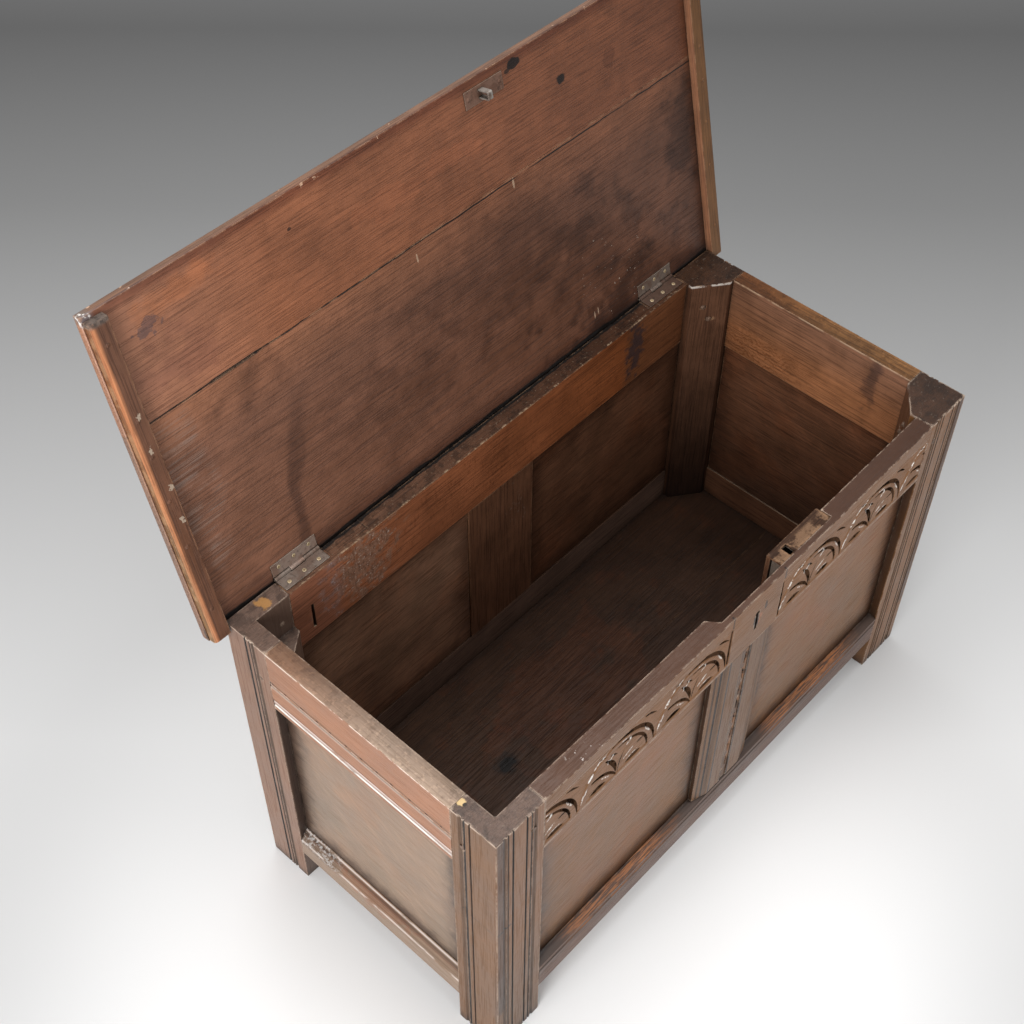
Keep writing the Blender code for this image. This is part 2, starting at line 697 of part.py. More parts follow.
def make_muntin(wall):
    half = wall.muntin / 2
    low, high = wall.bottom - MUNTIN_TENON, wall.top + MUNTIN_TENON
    if wall is FRONT:
        inner = half - FRONT_MUNTIN_SLOPE
        channel = FRONT_MUNTIN_CHANNEL / 2
        face = [(inner, 0.0), (channel, 0.0), (channel, CHANNEL_DEPTH)]
        face += [(-channel, CHANNEL_DEPTH), (-channel, 0.0), (-inner, 0.0)]
        fall = FRONT_MUNTIN_FALL
    else:
        face = []
        fall = 0.0
    outline = [(-half, fall), (-half, RAIL_THICKNESS), (half, RAIL_THICKNESS), (half, fall)] + face
    shape = bmesh.new()
    add_along_z(shape, wall.place, [(wall.muntin_x + s, d) for s, d in outline], (low, high))
    muntin = add_piece(wall.name + "_muntin", shape, OAK)
    waste = bmesh.new()
    wide = (wall.muntin_x - half - OVERCUT, wall.muntin_x + half + OVERCUT)
    near, far = -OVERCUT, RAIL_THICKNESS + OVERCUT
    tenon = half - MUNTIN_SHOULDER
    low_end = (low - OVERCUT, wall.bottom + GAP)
    high_end = (wall.top - GAP, high + OVERCUT)
    for end in (low_end, high_end):
        add_box(waste, wall.place, wide, (near, TENON_D[0]), end)
        add_box(waste, wall.place, (wide[0], wall.muntin_x - tenon), (near, far), end)
        add_box(waste, wall.place, (wall.muntin_x + tenon, wide[1]), (near, far), end)
    add_box(waste, wall.place, wide, (TENON_D[1], far), (low_end[0], wall.bottom_lip + GAP))
    add_box(waste, wall.place, wide, (TENON_D[1], far), (wall.top_lip - GAP, high_end[1]))
    for end in (-1, 1):
        groove = (wall.muntin_x + end * (half - GROOVE_DEPTH), wall.muntin_x + end * (half + OVERCUT))
        add_box(waste, wall.place, groove, GROOVE_D, (low - OVERCUT, high + OVERCUT))
    cut(muntin, waste)


def make_panel(wall, name, left, right):
    """A panel whose tongue runs in the grooves round an opening from left to right."""
    reach = GROOVE_DEPTH - PLAY / 2
    shape = bmesh.new()
    tongue_d = (PANEL_RECESS, PANEL_RECESS + TONGUE)
    tongue_z = (wall.bottom - reach, wall.top + reach)
    add_box(shape, wall.place, (left - reach, right + reach), tongue_d, tongue_z)
    panel = add_piece(name, shape, OAK_PANEL)
    field = bmesh.new()
    field_d = (PANEL_RECESS + TONGUE / 2, RAIL_THICKNESS - PLAY)
    field_z = (wall.bottom_lip + PANEL_MARGIN, wall.top_lip - PANEL_MARGIN)
    add_box(field, wall.place, (left + PANEL_MARGIN, right - PANEL_MARGIN), field_d, field_z)
    join(panel, field)


def make_floor():
    """Two boards housed in the bottom rails and cut round the stiles."""
    in_x = WIDTH / 2 - RAIL_THICKNESS + FLOOR_HOUSING
    in_y = DEPTH / 2 - RAIL_THICKNESS + FLOOR_HOUSING
    face_x = FACE_SHOULDER - FLOOR_MARGIN
    edge_x = WIDTH / 2 - STILE_SIDE_EDGE - FLOOR_MARGIN
    face_y = DEPTH / 2 - STILE_FACE_EDGE - FLOOR_MARGIN
    edge_y = SIDE_SHOULDER - FLOOR_MARGIN
    for name, side, joint in (("front", -1, FLOOR_JOINT_Y - GAP / 2), ("rear", 1, FLOOR_JOINT_Y + GAP / 2)):
        corner = [(in_x, edge_y), (edge_x, edge_y), (face_x, face_y), (face_x, in_y)]
        outline = [(in_x, joint)]
        outline += [(x, side * y) for x, y in corner]
        outline += [(-x, side * y) for x, y in reversed(corner)]
        outline += [(-in_x, joint)]
        shape = bmesh.new()
        add_along_z(shape, place_plain, outline, FLOOR_Z)
        add_piece(name + "_floor_board", shape, OAK_INSIDE)


def screw_profile(spare, rise):
    """A countersunk screw, or its hole when there is room to spare: the head's face is at height zero."""
    head, shank = SCREW_HEAD + spare, SCREW_SHANK + spare
    neck = SCREW_HEAD - SCREW_SHANK
    return ((0.0, rise), (head, rise), (head, 0.0), (shank, -neck), (shank, -SCREW_LENGTH - spare),
            (0.0, -SCREW_LENGTH - SCREW_SHANK - spare))


def make_screw(name, head, outward, parent):
    profile = screw_profile(0.0, 0.0)
    shape = bmesh.new()
    add_turned(shape, head, outward, (profile[0],) + profile[2:], SCREW_SIDES)
    add_piece(name, shape, BRASS, parent)


def add_screw_hole(shape, head, outward):
    add_turned(shape, head, outward, screw_profile(GAP, OVERCUT), SCREW_SIDES)


def add_nail_head(shape, face, outward):
    """A low rose head on a face, rooted a little below it."""
    root = -NAIL_HEAD_HEIGHT
    profile = ((0.0, NAIL_HEAD_HEIGHT), (NAIL_HEAD * 0.55, NAIL_HEAD_HEIGHT * 0.75), (NAIL_HEAD, 0.0),
               (NAIL_HEAD * 0.9, root), (0.0, root))
    add_turned(shape, face, outward, profile, NAIL_SIDES)


def hinge_screws(x):
    """Places of a leaf's screws: (x, distance from the pin)."""
    return [(x + share * HINGE_LENGTH, SCREW_SETBACK) for share in SCREW_SHARES]


def place_on_rail(x, v, w):
    """A point near the hinge, measured forward and up from the pin, in the carcass."""
    return Vector((x, HINGE_Y - v, HINGE_Z + w))


def add_barrel_notch(shape, place, x):
    reach = HINGE_LENGTH / 2 + 2 * PIN_TIP
    radius = BARREL_RADIUS + BARREL_CLEARANCE
    add_rod(shape, place(x - reach, 0.0, 0.0), place(x + reach, 0.0, 0.0), radius, ROUND_SIDES)


def add_hinge_recesses(shape):
    """Seats of the hinges, scars of older ones and the slot of the lost till in the rear top rail."""
    bed = HEIGHT - LEAF_LET_IN - GAP
    for end in (-1, 1):
        x = end * HINGE_X
        half = HINGE_LENGTH / 2 + GAP
        seat = (HINGE_Y - LEAF_WIDTH - GAP, HINGE_Y)
        add_box(shape, place_plain, (x - half, x + half), seat, (bed, HEIGHT + OVERCUT))
        add_barrel_notch(shape, place_on_rail, x)
        for screw_x, setback in hinge_screws(x):
            head = place_on_rail(screw_x, setback, -HINGE_SPLIT)
            add_screw_hole(shape, head, UP)
        inner = x - end * (half + SCAR_OFFSET)
        scar = sorted((inner, inner - end * SCAR_LENGTH))
        add_box(shape, place_plain, scar, seat, (HEIGHT - SCAR_DEPTH, HEIGHT + OVERCUT))
    slot_x = -FACE_SHOULDER + TILL_SLOT_INSET
    slot = (slot_x - TILL_SLOT_WIDTH / 2, slot_x + TILL_SLOT_WIDTH / 2)
    depth = (RAIL_THICKNESS - TILL_SLOT_WIDTH, RAIL_THICKNESS + OVERCUT)
    slot_top = HEIGHT - TILL_SLOT_TOP
    add_box(shape, place_rear, slot, depth, (slot_top - TILL_SLOT_LENGTH, slot_top))


def make_leaf(name, place, x, knuckles, side, look, parent):
    """One leaf of a butt hinge: side is -1 for the leaf below the pin and 1 for the one above."""
    half = HINGE_LENGTH / 2
    clear = BARREL_RADIUS + BARREL_CLEARANCE
    outline = [(x - half, LEAF_WIDTH), (x - half, clear)]
    for low, high in knuckles:
        outline += [(x + low, clear), (x + low, 0.0), (x + high, 0.0), (x + high, clear)]
    outline += [(x + half, clear), (x + half, LEAF_WIDTH)]
    tidy = [point for index, point in enumerate(outline) if point != outline[index - 1]]
    near = side * HINGE_SPLIT
    far = side * (HINGE_SPLIT + LEAF_THICKNESS)
    shape = bmesh.new()
    add_along_z(shape, place, tidy, (near, far))
    leaf = add_piece(name, shape, look, parent)
    rolls = bmesh.new()
    for low, high in knuckles:
        add_rod(rolls, place(x + low, 0.0, 0.0), place(x + high, 0.0, 0.0), BARREL_RADIUS, ROUND_SIDES)
    join(leaf, rolls)
    holes = bmesh.new()
    reach = half + OVERCUT
    add_rod(holes, place(x - reach, 0.0, 0.0), place(x + reach, 0.0, 0.0), PIN_RADIUS + GAP, ROUND_SIDES)
    for screw_x, setback in hinge_screws(x):
        add_screw_hole(holes, place(screw_x, setback, near), -side * UP)
    cut(leaf, holes)


def make_hinges():
    half = HINGE_LENGTH / 2
    split = half - HINGE_LENGTH * KNUCKLE_SHARE
    outer = ((-half, -split - GAP), (split + GAP, half))
    middle = ((-split + GAP, split - GAP),)
    for name, end in (("left", -1), ("right", 1)):
        x = end * HINGE_X
        make_leaf(name + "_hinge_rail_leaf", place_on_rail, x, outer, -1, IRON, COFFER)
        make_leaf(name + "_hinge_lid_leaf", place_lid, x, middle, 1, IRON, LID)
        pin = bmesh.new()
        reach = half + PIN_TIP
        start, finish = place_on_rail(x - reach, 0.0, 0.0), place_on_rail(x + reach, 0.0, 0.0)
        add_rod(pin, start, finish, PIN_RADIUS, ROUND_SIDES)
        add_piece(name + "_hinge_pin", pin, IRON, smooth=True)
        for number, (screw_x, setback) in enumerate(hinge_screws(x), 1):
            head = place_on_rail(screw_x, setback, -HINGE_SPLIT)
            make_screw(f"{name}_hinge_rail_screw_{number}", head, UP, COFFER)
            head = place_lid(screw_x, setback, HINGE_SPLIT)
            make_screw(f"{name}_hinge_lid_screw_{number}", head, -UP, LID)


# Levels and places of the lock
LOCK_RIGHT = LOCK_LEFT + LOCK_WIDTH
COVER_LEVEL = rail_top(LOCK_LEFT) - GAP
CASE_X = (LOCK_LEFT + CASE_SETBACK, LOCK_RIGHT - CASE_SETBACK)
CASE_D = (RECESS_WALL + GAP, RAIL_THICKNESS - GAP)
CASE_ROOF = COVER_LEVEL - COVER_TOP - GAP
CASE_Z = (CASE_ROOF - FRONT_TOP_RAIL * CASE_HEIGHT_SHARE, CASE_ROOF)
BOLT_TOP = CASE_ROOF - CASE_WALL - GAP
BOLT_FOOT = BOLT_TOP - BOLT_HEIGHT
BOLT_TIP = STAPLE_X + STAPLE_STRIP / 2 + BOLT_CLEARANCE
BOLT_D = (STAPLE_SETBACK - BOLT_THICKNESS / 2, STAPLE_SETBACK + BOLT_THICKNESS / 2)
BOLT_TAIL_LEFT = BOLT_TIP + LOCK_WIDTH * BOLT_TAIL_SHARE
BOLT_TAIL_X = (BOLT_TAIL_LEFT, BOLT_TAIL_LEFT + LOCK_WIDTH * BOLT_TAIL_WIDTH_SHARE)
SHELF_Z = (BOLT_FOOT - GAP - SHELF_THICKNESS, BOLT_FOOT - GAP)
SLOT_X = (STAPLE_X - STAPLE_STRIP / 2 - STAPLE_PLAY, STAPLE_X + STAPLE_STRIP / 2 + STAPLE_PLAY)
SLOT_D = (STAPLE_SETBACK - STAPLE_WIDTH / 2 - STAPLE_PLAY, STAPLE_SETBACK + STAPLE_WIDTH / 2 + STAPLE_PLAY)
KEYHOLE_X = LOCK_LEFT + LOCK_WIDTH * KEYHOLE_SHARE
KEYHOLE_S = (KEYHOLE_X - KEYHOLE_WIDTH / 2, KEYHOLE_X + KEYHOLE_WIDTH / 2)
KEYHOLE_TOP = HEIGHT - FRONT_TOP_RAIL * KEYHOLE_TOP_SHARE
KEYHOLE_Z = (KEYHOLE_TOP - FRONT_TOP_RAIL * KEYHOLE_LENGTH_SHARE, KEYHOLE_TOP)
RECESS_FLOOR = HEIGHT - FRONT_TOP_RAIL * RECESS_SHARE
COVER_LAP = FRONT_TOP_RAIL * COVER_LAP_SHARE
COVER_FOOT = RECESS_FLOOR - COVER_LAP
CLOSED_UNDER = HEIGHT + LID_REST
STAPLE_DROP = CLOSED_UNDER - BOLT_FOOT + STAPLE_UNDER_BOLT + STAPLE_THICKNESS


def cover_nails():
    """Places of the nails along the foot of the lock cover."""
    face = RAIL_THICKNESS + GAP + COVER_BOARD
    z = RECESS_FLOOR - COVER_LAP / 2
    return [place_front(LOCK_LEFT + share * LOCK_WIDTH, face, z) for share in COVER_NAIL_SHARES]


def add_lock_recess(shape):
    """The lock recess and both keyholes of the front top rail."""
    right = LOCK_RIGHT + GAP
    past = RAIL_THICKNESS + OVERCUT
    outline = ((RECESS_LEFT, past), (RECESS_LEFT, RAIL_THICKNESS), (RECESS_LEFT + RECESS_SLANT, RECESS_WALL),
               (right, RECESS_WALL), (right, past))
    add_along_z(shape, place_front, outline, (RECESS_FLOOR, HEIGHT + OVERCUT))
    through = (-OVERCUT, RECESS_WALL + OVERCUT)
    add_box(shape, place_front, KEYHOLE_S, through, KEYHOLE_Z)
    old = (OLD_KEYHOLE_X - OLD_KEYHOLE_WIDTH / 2, OLD_KEYHOLE_X + OLD_KEYHOLE_WIDTH / 2)
    old_top = HEIGHT - FRONT_TOP_RAIL * OLD_KEYHOLE_TOP_SHARE
    eye = old_top - OLD_KEYHOLE_RADIUS
    add_box(shape, place_front, old, through, (old_top - FRONT_TOP_RAIL * OLD_KEYHOLE_LENGTH_SHARE, eye))
    ends = [place_front(OLD_KEYHOLE_X, d, eye) for d in through]
    add_rod(shape, ends[0], ends[1], OLD_KEYHOLE_RADIUS, ROUND_SIDES)


def make_lock():
    shape = bmesh.new()
    add_box(shape, place_front, CASE_X, CASE_D, CASE_Z)
    case = add_piece("lock_case", shape, IRON)
    inside = bmesh.new()
    x = (CASE_X[0] + CASE_WALL, CASE_X[1] - CASE_WALL)
    z = (CASE_Z[0] + CASE_WALL, CASE_Z[1] - CASE_WALL)
    shelf_x = BOLT_TAIL_X[1] + PLAY
    outline = [(x[0], z[0]), (x[1], z[0]), (x[1], SHELF_Z[0]), (shelf_x, SHELF_Z[0])]
    outline += [(shelf_x, SHELF_Z[1]), (x[1], SHELF_Z[1]), (x[1], z[1]), (x[0], z[1])]
    add_along_d(inside, place_front, outline, (CASE_D[0] + CASE_WALL, CASE_D[1] + OVERCUT))
    add_box(inside, place_front, SLOT_X, SLOT_D, (z[1] - OVERCUT, CASE_Z[1] + OVERCUT))
    add_box(inside, place_front, KEYHOLE_S, (CASE_D[0] - OVERCUT, CASE_D[0] + OVERCUT), KEYHOLE_Z)
    cut(case, inside)

    bolt_end = BOLT_TIP + LOCK_WIDTH * BOLT_LENGTH_SHARE
    step_x = BOLT_TIP + LOCK_WIDTH * BOLT_STEP_SHARE
    tail_foot = BOLT_FOOT - BOLT_TAIL_DROP
    outline = [(BOLT_TIP, BOLT_FOOT), (BOLT_TAIL_X[0], BOLT_FOOT), (BOLT_TAIL_X[0], tail_foot)]
    outline += [(BOLT_TAIL_X[1], tail_foot), (BOLT_TAIL_X[1], BOLT_FOOT), (bolt_end, BOLT_FOOT)]
    outline += [(bolt_end, BOLT_TOP - BOLT_STEP), (step_x, BOLT_TOP - BOLT_STEP), (step_x, BOLT_TOP)]
    outline += [(BOLT_TIP, BOLT_TOP)]
    shape = bmesh.new()
    add_along_d(shape, place_front, outline, BOLT_D)
    add_piece("lock_bolt", shape, IRON)

    root = CASE_X[1] - CASE_WALL - GAP
    roof = CASE_Z[1] - CASE_WALL - GAP
    touch = BOLT_TOP - BOLT_STEP + GAP
    tip = root - LOCK_WIDTH * SPRING_SHARE
    lower = [(root, roof - SPRING_THICKNESS), ((root + tip) / 2, touch), (tip, roof - SPRING_THICKNESS)]
    upper = [(tip, roof), ((root + tip) / 2, touch + SPRING_THICKNESS), (root, roof)]
    middle = (BOLT_D[0] + BOLT_D[1]) / 2
    shape = bmesh.new()
    add_along_d(shape, place_front, lower + upper, (middle - SPRING_DEPTH / 2, middle + SPRING_DEPTH / 2))
    add_piece("lock_spring", shape, IRON)

    face = RAIL_THICKNESS + GAP
    outline = [(RECESS_WALL + GAP, COVER_LEVEL), (RECESS_WALL + GAP, COVER_LEVEL - COVER_TOP)]
    outline += [(face, COVER_LEVEL - COVER_TOP), (face, COVER_FOOT)]
    outline += [(face + COVER_BOARD, COVER_FOOT), (face + COVER_BOARD, COVER_LEVEL)]
    shape = bmesh.new()
    add_along_s(shape, place_front, outline, (LOCK_LEFT, LOCK_RIGHT))
    cover = add_piece("lock_cover", shape, OAK_INSIDE)
    holes = bmesh.new()
    add_box(holes, place_front, SLOT_X, SLOT_D, (COVER_LEVEL - COVER_TOP - OVERCUT, COVER_LEVEL + OVERCUT))
    cut(cover, holes)
    heads = bmesh.new()
    for nail in cover_nails():
        add_nail_head(heads, nail, BACK)
    join(cover, heads)


def add_staple_outline(shape, spare):
    """The staple as a U of flat strip, or its two leg holes when there is room to spare."""
    half = STAPLE_WIDTH / 2
    inner = half - STAPLE_THICKNESS
    x = (STAPLE_X - STAPLE_STRIP / 2 - spare, STAPLE_X + STAPLE_STRIP / 2 + spare)
    top = LID_UNDER + STAPLE_TANG
    foot = LID_UNDER - STAPLE_DROP
    if spare:
        for end in (-1, 1):
            legs = sorted((STAPLE_V + end * (inner - spare), STAPLE_V + end * (half + spare)))
            add_box(shape, place_lid, x, legs, (LID_UNDER - OVERCUT, top + spare))
        return
    corner = half - STAPLE_CHAMFER
    outline = [(-half, top), (-half, foot + STAPLE_CHAMFER), (-corner, foot), (corner, foot)]
    outline += [(half, foot + STAPLE_CHAMFER), (half, top), (inner, top), (inner, foot + STAPLE_THICKNESS)]
    outline += [(-inner, foot + STAPLE_THICKNESS), (-inner, top)]
    add_along_s(shape, place_lid, [(STAPLE_V + v, w) for v, w in outline], x)


def make_lid_boards():
    half = LID_HALF_WIDTH
    left_joint = LID_FRONT * LID_JOINT_LEFT_SHARE
    right_joint = LID_FRONT * LID_JOINT_RIGHT_SHARE
    front = ((-half, left_joint + GAP), (half, right_joint + GAP), (half, LID_FRONT), (-half, LID_FRONT))
    rear = ((-half, -LID_BACK), (half, -LID_BACK), (half, right_joint), (-half, left_joint))

    def moulded(a, b):
        """Upper edges of the lid's front and ends."""
        if min(a.z, b.z) < LID_TOP - GAP:
            return False
        at_front = max(a.y, b.y) < -LID_FRONT + GAP
        at_end = min(abs(a.x), abs(b.x)) > half - GAP and abs(a.x - b.x) < half
        return at_front or at_end

    for name, outline in (("front", front), ("rear", rear)):
        shape = bmesh.new()
        add_along_z(shape, place_lid, outline, (LID_UNDER, LID_TOP))
        board = add_piece(f"lid_{name}_board", shape, OAK_LID, LID)
        soften(board, moulded, LID_EDGE, 4)
        holes = bmesh.new()
        if name == "rear":
            add_lid_hinge_seats(holes)
        else:
            plate_x = (PLATE_X - PLATE_LENGTH / 2 - GAP, PLATE_X + PLATE_LENGTH / 2 + GAP)
            plate_v = (STAPLE_V - PLATE_WIDTH / 2 - GAP, STAPLE_V + PLATE_WIDTH / 2 + GAP)
            add_box(holes, place_lid, plate_x, plate_v, (LID_UNDER - OVERCUT, LID_UNDER + PLATE_LET_IN + GAP))
            add_staple_outline(holes, GAP)
        cut(board, holes)


def add_lid_hinge_seats(shape):
    bed = LID_UNDER + LEAF_LET_IN + GAP
    for end in (-1, 1):
        x = end * HINGE_X
        half = HINGE_LENGTH / 2 + GAP
        add_box(shape, place_lid, (x - half, x + half), (0.0, LEAF_WIDTH + GAP), (LID_UNDER - OVERCUT, bed))
        add_barrel_notch(shape, place_lid, x)
        for screw_x, setback in hinge_screws(x):
            head = place_lid(screw_x, setback, HINGE_SPLIT)
            add_screw_hole(shape, head, -UP)


def make_cleats():
    top = LID_UNDER - GAP
    foot = top - CLEAT_DEPTH
    for name, end in (("left", -1), ("right", 1)):
        x = sorted((end * CLEAT_INNER, end * CLEAT_OUTER))
        shape = bmesh.new()
        add_box(shape, place_lid, x, (-LID_BACK, LID_FRONT - CLEAT_SETBACK), (foot, top))
        cleat = add_piece(f"lid_{name}_cleat", shape, OAK_LID, LID)

        def outer_foot(a, b):
            low = max(a.z, b.z) < foot + GAP
            return low and min(abs(a.x), abs(b.x)) > CLEAT_OUTER - GAP

        soften(cleat, outer_foot, CLEAT_ROUND, 3)
        heads = bmesh.new()
        for share in CLEAT_NAIL_SHARES:
            add_nail_head(heads, place_lid((x[0] + x[1]) / 2, share * LID_FRONT, foot), -UP)
        join(cleat, heads)


def make_staple():
    shape = bmesh.new()
    x = (PLATE_X - PLATE_LENGTH / 2, PLATE_X + PLATE_LENGTH / 2)
    v = (STAPLE_V - PLATE_WIDTH / 2, STAPLE_V + PLATE_WIDTH / 2)
    top = LID_UNDER + PLATE_LET_IN
    add_box(shape, place_lid, x, v, (top - PLATE_THICKNESS, top))
    plate = add_piece("staple_plate", shape, IRON, LID)
    holes = bmesh.new()
    add_staple_outline(holes, GAP)
    cut(plate, holes)
    heads = bmesh.new()
    for nail_x in (x[0] + PLATE_NAIL_INSET, x[1] - PLATE_NAIL_INSET):
        add_nail_head(heads, place_lid(nail_x, STAPLE_V, top - PLATE_THICKNESS), -UP)
    join(plate, heads)
    shape = bmesh.new()
    add_staple_outline(shape, 0.0)
    add_piece("staple", shape, IRON, LID)


def make_carcass():
    for y_name in ("front", "rear"):
        for x_name in ("left", "right"):
            make_stile(x_name, y_name)
    for wall in WALLS:
        make_top_rail(wall)
        make_bottom_rail(wall)
        make_pegs(wall)
    for wall in (FRONT, REAR):
        make_muntin(wall)
        edges = (wall.muntin_x - wall.muntin / 2, wall.muntin_x + wall.muntin / 2)
        make_panel(wall, wall.name + "_left_panel", -wall.shoulder, edges[0])
        make_panel(wall, wall.name + "_right_panel", edges[1], wall.shoulder)
    for wall in (LEFT, RIGHT):
        make_panel(wall, wall.name + "_panel", -wall.shoulder, wall.shoulder)
    make_floor()


make_carcass()
make_hinges()
make_lock()
make_lid_boards()
make_cleats()
make_staple()
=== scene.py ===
"""Looks of the joined oak coffer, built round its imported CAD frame."""

import math

import bmesh
import bpy
import numpy as np
from mathutils import Matrix, Vector


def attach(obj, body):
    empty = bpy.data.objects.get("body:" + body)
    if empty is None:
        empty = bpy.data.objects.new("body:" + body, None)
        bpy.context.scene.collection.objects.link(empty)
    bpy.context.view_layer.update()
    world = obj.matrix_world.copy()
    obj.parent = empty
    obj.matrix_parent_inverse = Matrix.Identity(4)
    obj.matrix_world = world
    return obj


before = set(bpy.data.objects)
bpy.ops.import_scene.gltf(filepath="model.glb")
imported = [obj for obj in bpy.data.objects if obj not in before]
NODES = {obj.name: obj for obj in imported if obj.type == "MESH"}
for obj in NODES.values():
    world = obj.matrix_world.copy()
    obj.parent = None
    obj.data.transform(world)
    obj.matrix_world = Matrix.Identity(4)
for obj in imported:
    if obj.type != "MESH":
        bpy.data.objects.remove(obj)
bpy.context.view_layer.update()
SCENE = bpy.context.scene
MM = 1000

# The camera of the photograph
CAMERA_PLACE = (-1.14464, -0.9145, 2.22829)
CAMERA_AZIMUTH = math.radians(47.504)
CAMERA_DOWN = math.radians(49.47)
CAMERA_ROLL = math.radians(0.286)
CAMERA_LENS = 55.53
CAMERA_SENSOR = 36

# The coffer, in the row frame, in metres
HINGE = (0, 0.17792, 0.593)
LID_OPEN = math.radians(102.6)
FRONT_Y = -0.30168
REAR_Y = 0.17532
END_X = 0.5
TOP_Z = 0.592

# The studio floor: half its side and its drop below the feet
FLOOR_HALF = 12
FLOOR_DROP = 0.0004
# Painted light and shade on the floor: its grey by distance in front of the camera, in metres
FLOOR_GREYS = ((1, 210), (1.4, 220), (2.8, 150), (3.5, 120), (5.2, 200))
FLOOR_REACH = 6
# A painted pool of light on the floor before the coffer: distance from the camera, full and outer radius,
# grey
PAINTED_LIGHT_POOL = (1.1, 0.35, 0.85, 253)
# The even light, and each lamp's place, aim, size and power
SKY = 0.45
LAMPS = {
    "key": ((-2.6, -0.6, 1.5), (0, 0, 0.4), 1.5, 52),
    "pool": ((0.28, -1.08, 1.25), (0.28, -1.08, 0), 0.9, 4.8),
    "top": ((0.3, 0.2, 3.2), (0, 0, 0.4), 2, 46),
}

# The oak's colours, as screen values, from weathered and bare to dark; the darker ones also serve as painted
# shade on shaded faces
PALE = (160, 110, 80)
FAWN = (145, 120, 100)
TAN = (132, 97, 76)
HONEY = (128, 85, 46)
CHESTNUT = (134, 83, 55)
GREY_OAK = (104, 82, 70)
BROWN = (112, 76, 44)
DUSKY = (112, 74, 55)
RUSSET = (96, 64, 46)
UMBER = (80, 52, 36)
BLACK_OAK = (60, 38, 24)
PEG_OAK = (120, 96, 80)
CHIP_OAK = (104, 80, 64)
# Marks on the oak: white for painted highlights, and the dark of dirt and painted shade in corners
HIGHLIGHT_WHITE = (255, 250, 244)
DIRT_AND_SHADE = (22, 15, 12)

# Colour of each wooden piece by the way a face looks: its own tone, with painted light and shade by the way
# the face turns; "" is any other way, and FAWN if left out
TONES = {
    "front_top_rail": {"-Y": HONEY, "+Z": UMBER, "+Y": RUSSET, "-X": BROWN},
    "front_bottom_rail": {"-Y": RUSSET, "+Z": GREY_OAK, "+Y": RUSSET},
    "rear_top_rail": {"-Y": CHESTNUT, "+Z": UMBER},
    "rear_bottom_rail": {"-Y": GREY_OAK, "+Z": UMBER},
    "left_top_rail": {"-X": PALE, "+Z": FAWN, "+X": RUSSET},
    "left_bottom_rail": {"-X": FAWN, "+Z": FAWN, "+X": RUSSET},
    "right_top_rail": {"-X": PALE, "+Z": BROWN},
    "right_bottom_rail": {"-X": RUSSET},
    "left_panel": {"-X": FAWN, "+X": RUSSET},
    "right_panel": {"-X": RUSSET},
    "front_left_panel": {"-Y": HONEY, "+Y": RUSSET},
    "front_right_panel": {"-Y": HONEY, "+Y": RUSSET},
    "rear_left_panel": {"-Y": TAN},
    "rear_right_panel": {"-Y": RUSSET},
    "front_muntin": {"-Y": BROWN, "-X": BROWN, "+Y": RUSSET},
    "rear_muntin": {"-Y": RUSSET, "-X": PALE},
    "front_left_stile": {"-X": BROWN, "-Y": HONEY, "+Z": GREY_OAK, "+X": RUSSET, "+Y": RUSSET},
    "front_right_stile": {"-X": BROWN, "-Y": HONEY, "+Z": BLACK_OAK, "+Y": UMBER},
    "rear_left_stile": {"-X": TAN, "-Y": GREY_OAK, "+Z": GREY_OAK, "+X": RUSSET},
    "rear_right_stile": {"-X": UMBER, "-Y": UMBER, "+Z": BLACK_OAK},
    "front_floor_board": {"": RUSSET, "+Z": BLACK_OAK},
    "rear_floor_board": {"": RUSSET, "+Z": BLACK_OAK},
    "lock_cover": {"": RUSSET, "+Z": BLACK_OAK, "+Y": RUSSET},
    "lid_front_board": {"": TAN, "-X": PALE, "-Y": CHESTNUT, "+Z": TAN},
    "lid_rear_board": {"": TAN, "-X": TAN, "-Y": DUSKY},
    "lid_left_cleat": {"": DUSKY, "-X": HONEY, "-Y": PALE},
    "lid_right_cleat": {"": DUSKY, "-X": PALE, "-Y": BROWN},
}
# How far the grain moves on from piece to piece
GRAIN_SHIFT = 1.37

# Gloss, edge wear, corner dirt and painted shade, the colour of bare edges and shine
LOOKS = {
    "lid": (0.42, 0.55, 0.7, (204, 156, 120), 0.42),
    "in": (0.44, 0.55, 0.85, (176, 138, 106), 0.2),
    "out": (0.36, 0.7, 0.85, (214, 190, 168), 0.36),
}
# Edge wear of the lowest pieces, and shine where none is given
LOW_WEAR = 0.15
SHINE = 0.35
# Streaks, mottling, dark pores and pale flecks
FIGURES = {
    "lid": (0.06, 0.12, 0.45, 0.28),
    "in": (0.08, 0.14, 0.5, 0.3),
    "out": (0.022, 0.07, 0.16, 0.07),
    "panel": (0.01, 0.07, 0.07, 0.04),
    "peg": (0.06, 0.08, 0.4, 0.2),
}
# How far the grain stands up
RIDGES = {"lid": 1, "in": 1, "out": 0.6, "panel": 0.25}

# Irons: skin, rust, rubbed edge and gloss
IRONS = {
    "old_iron": ((118, 104, 94), (104, 84, 72), (190, 174, 158), 0.45),
    "hinge_leaf_iron": ((150, 130, 118), (132, 106, 92), (206, 190, 174), 0.45),
    "rusty_iron": ((128, 96, 80), (112, 80, 64), (186, 160, 140), 0.45),
    "dark_iron": ((86, 64, 52), (76, 54, 42), (140, 118, 100), 0.45),
    "bright_iron": ((160, 152, 144), (118, 100, 88), (216, 210, 202), 0.35),
    "screw_metal": ((164, 138, 104), (120, 96, 70), (224, 204, 168), 0.4),
}
# Pieces that aren't of the common old iron; the hinge leaves' lighter and darker irons are partly painted
# light and shade
METALS = {
    "staple": "bright_iron",
    "staple_plate": "rusty_iron",
    "right_hinge_rail_leaf": "dark_iron",
    "left_hinge_lid_leaf": "hinge_leaf_iron",
}


def srgb(red, green, blue):
    """A linear colour from 8-bit screen values."""
    def one(value):
        value = value / 255
        return value / 12.92 if value <= 0.04045 else ((value + 0.055) / 1.055) ** 2.4
    return (one(red), one(green), one(blue), 1)


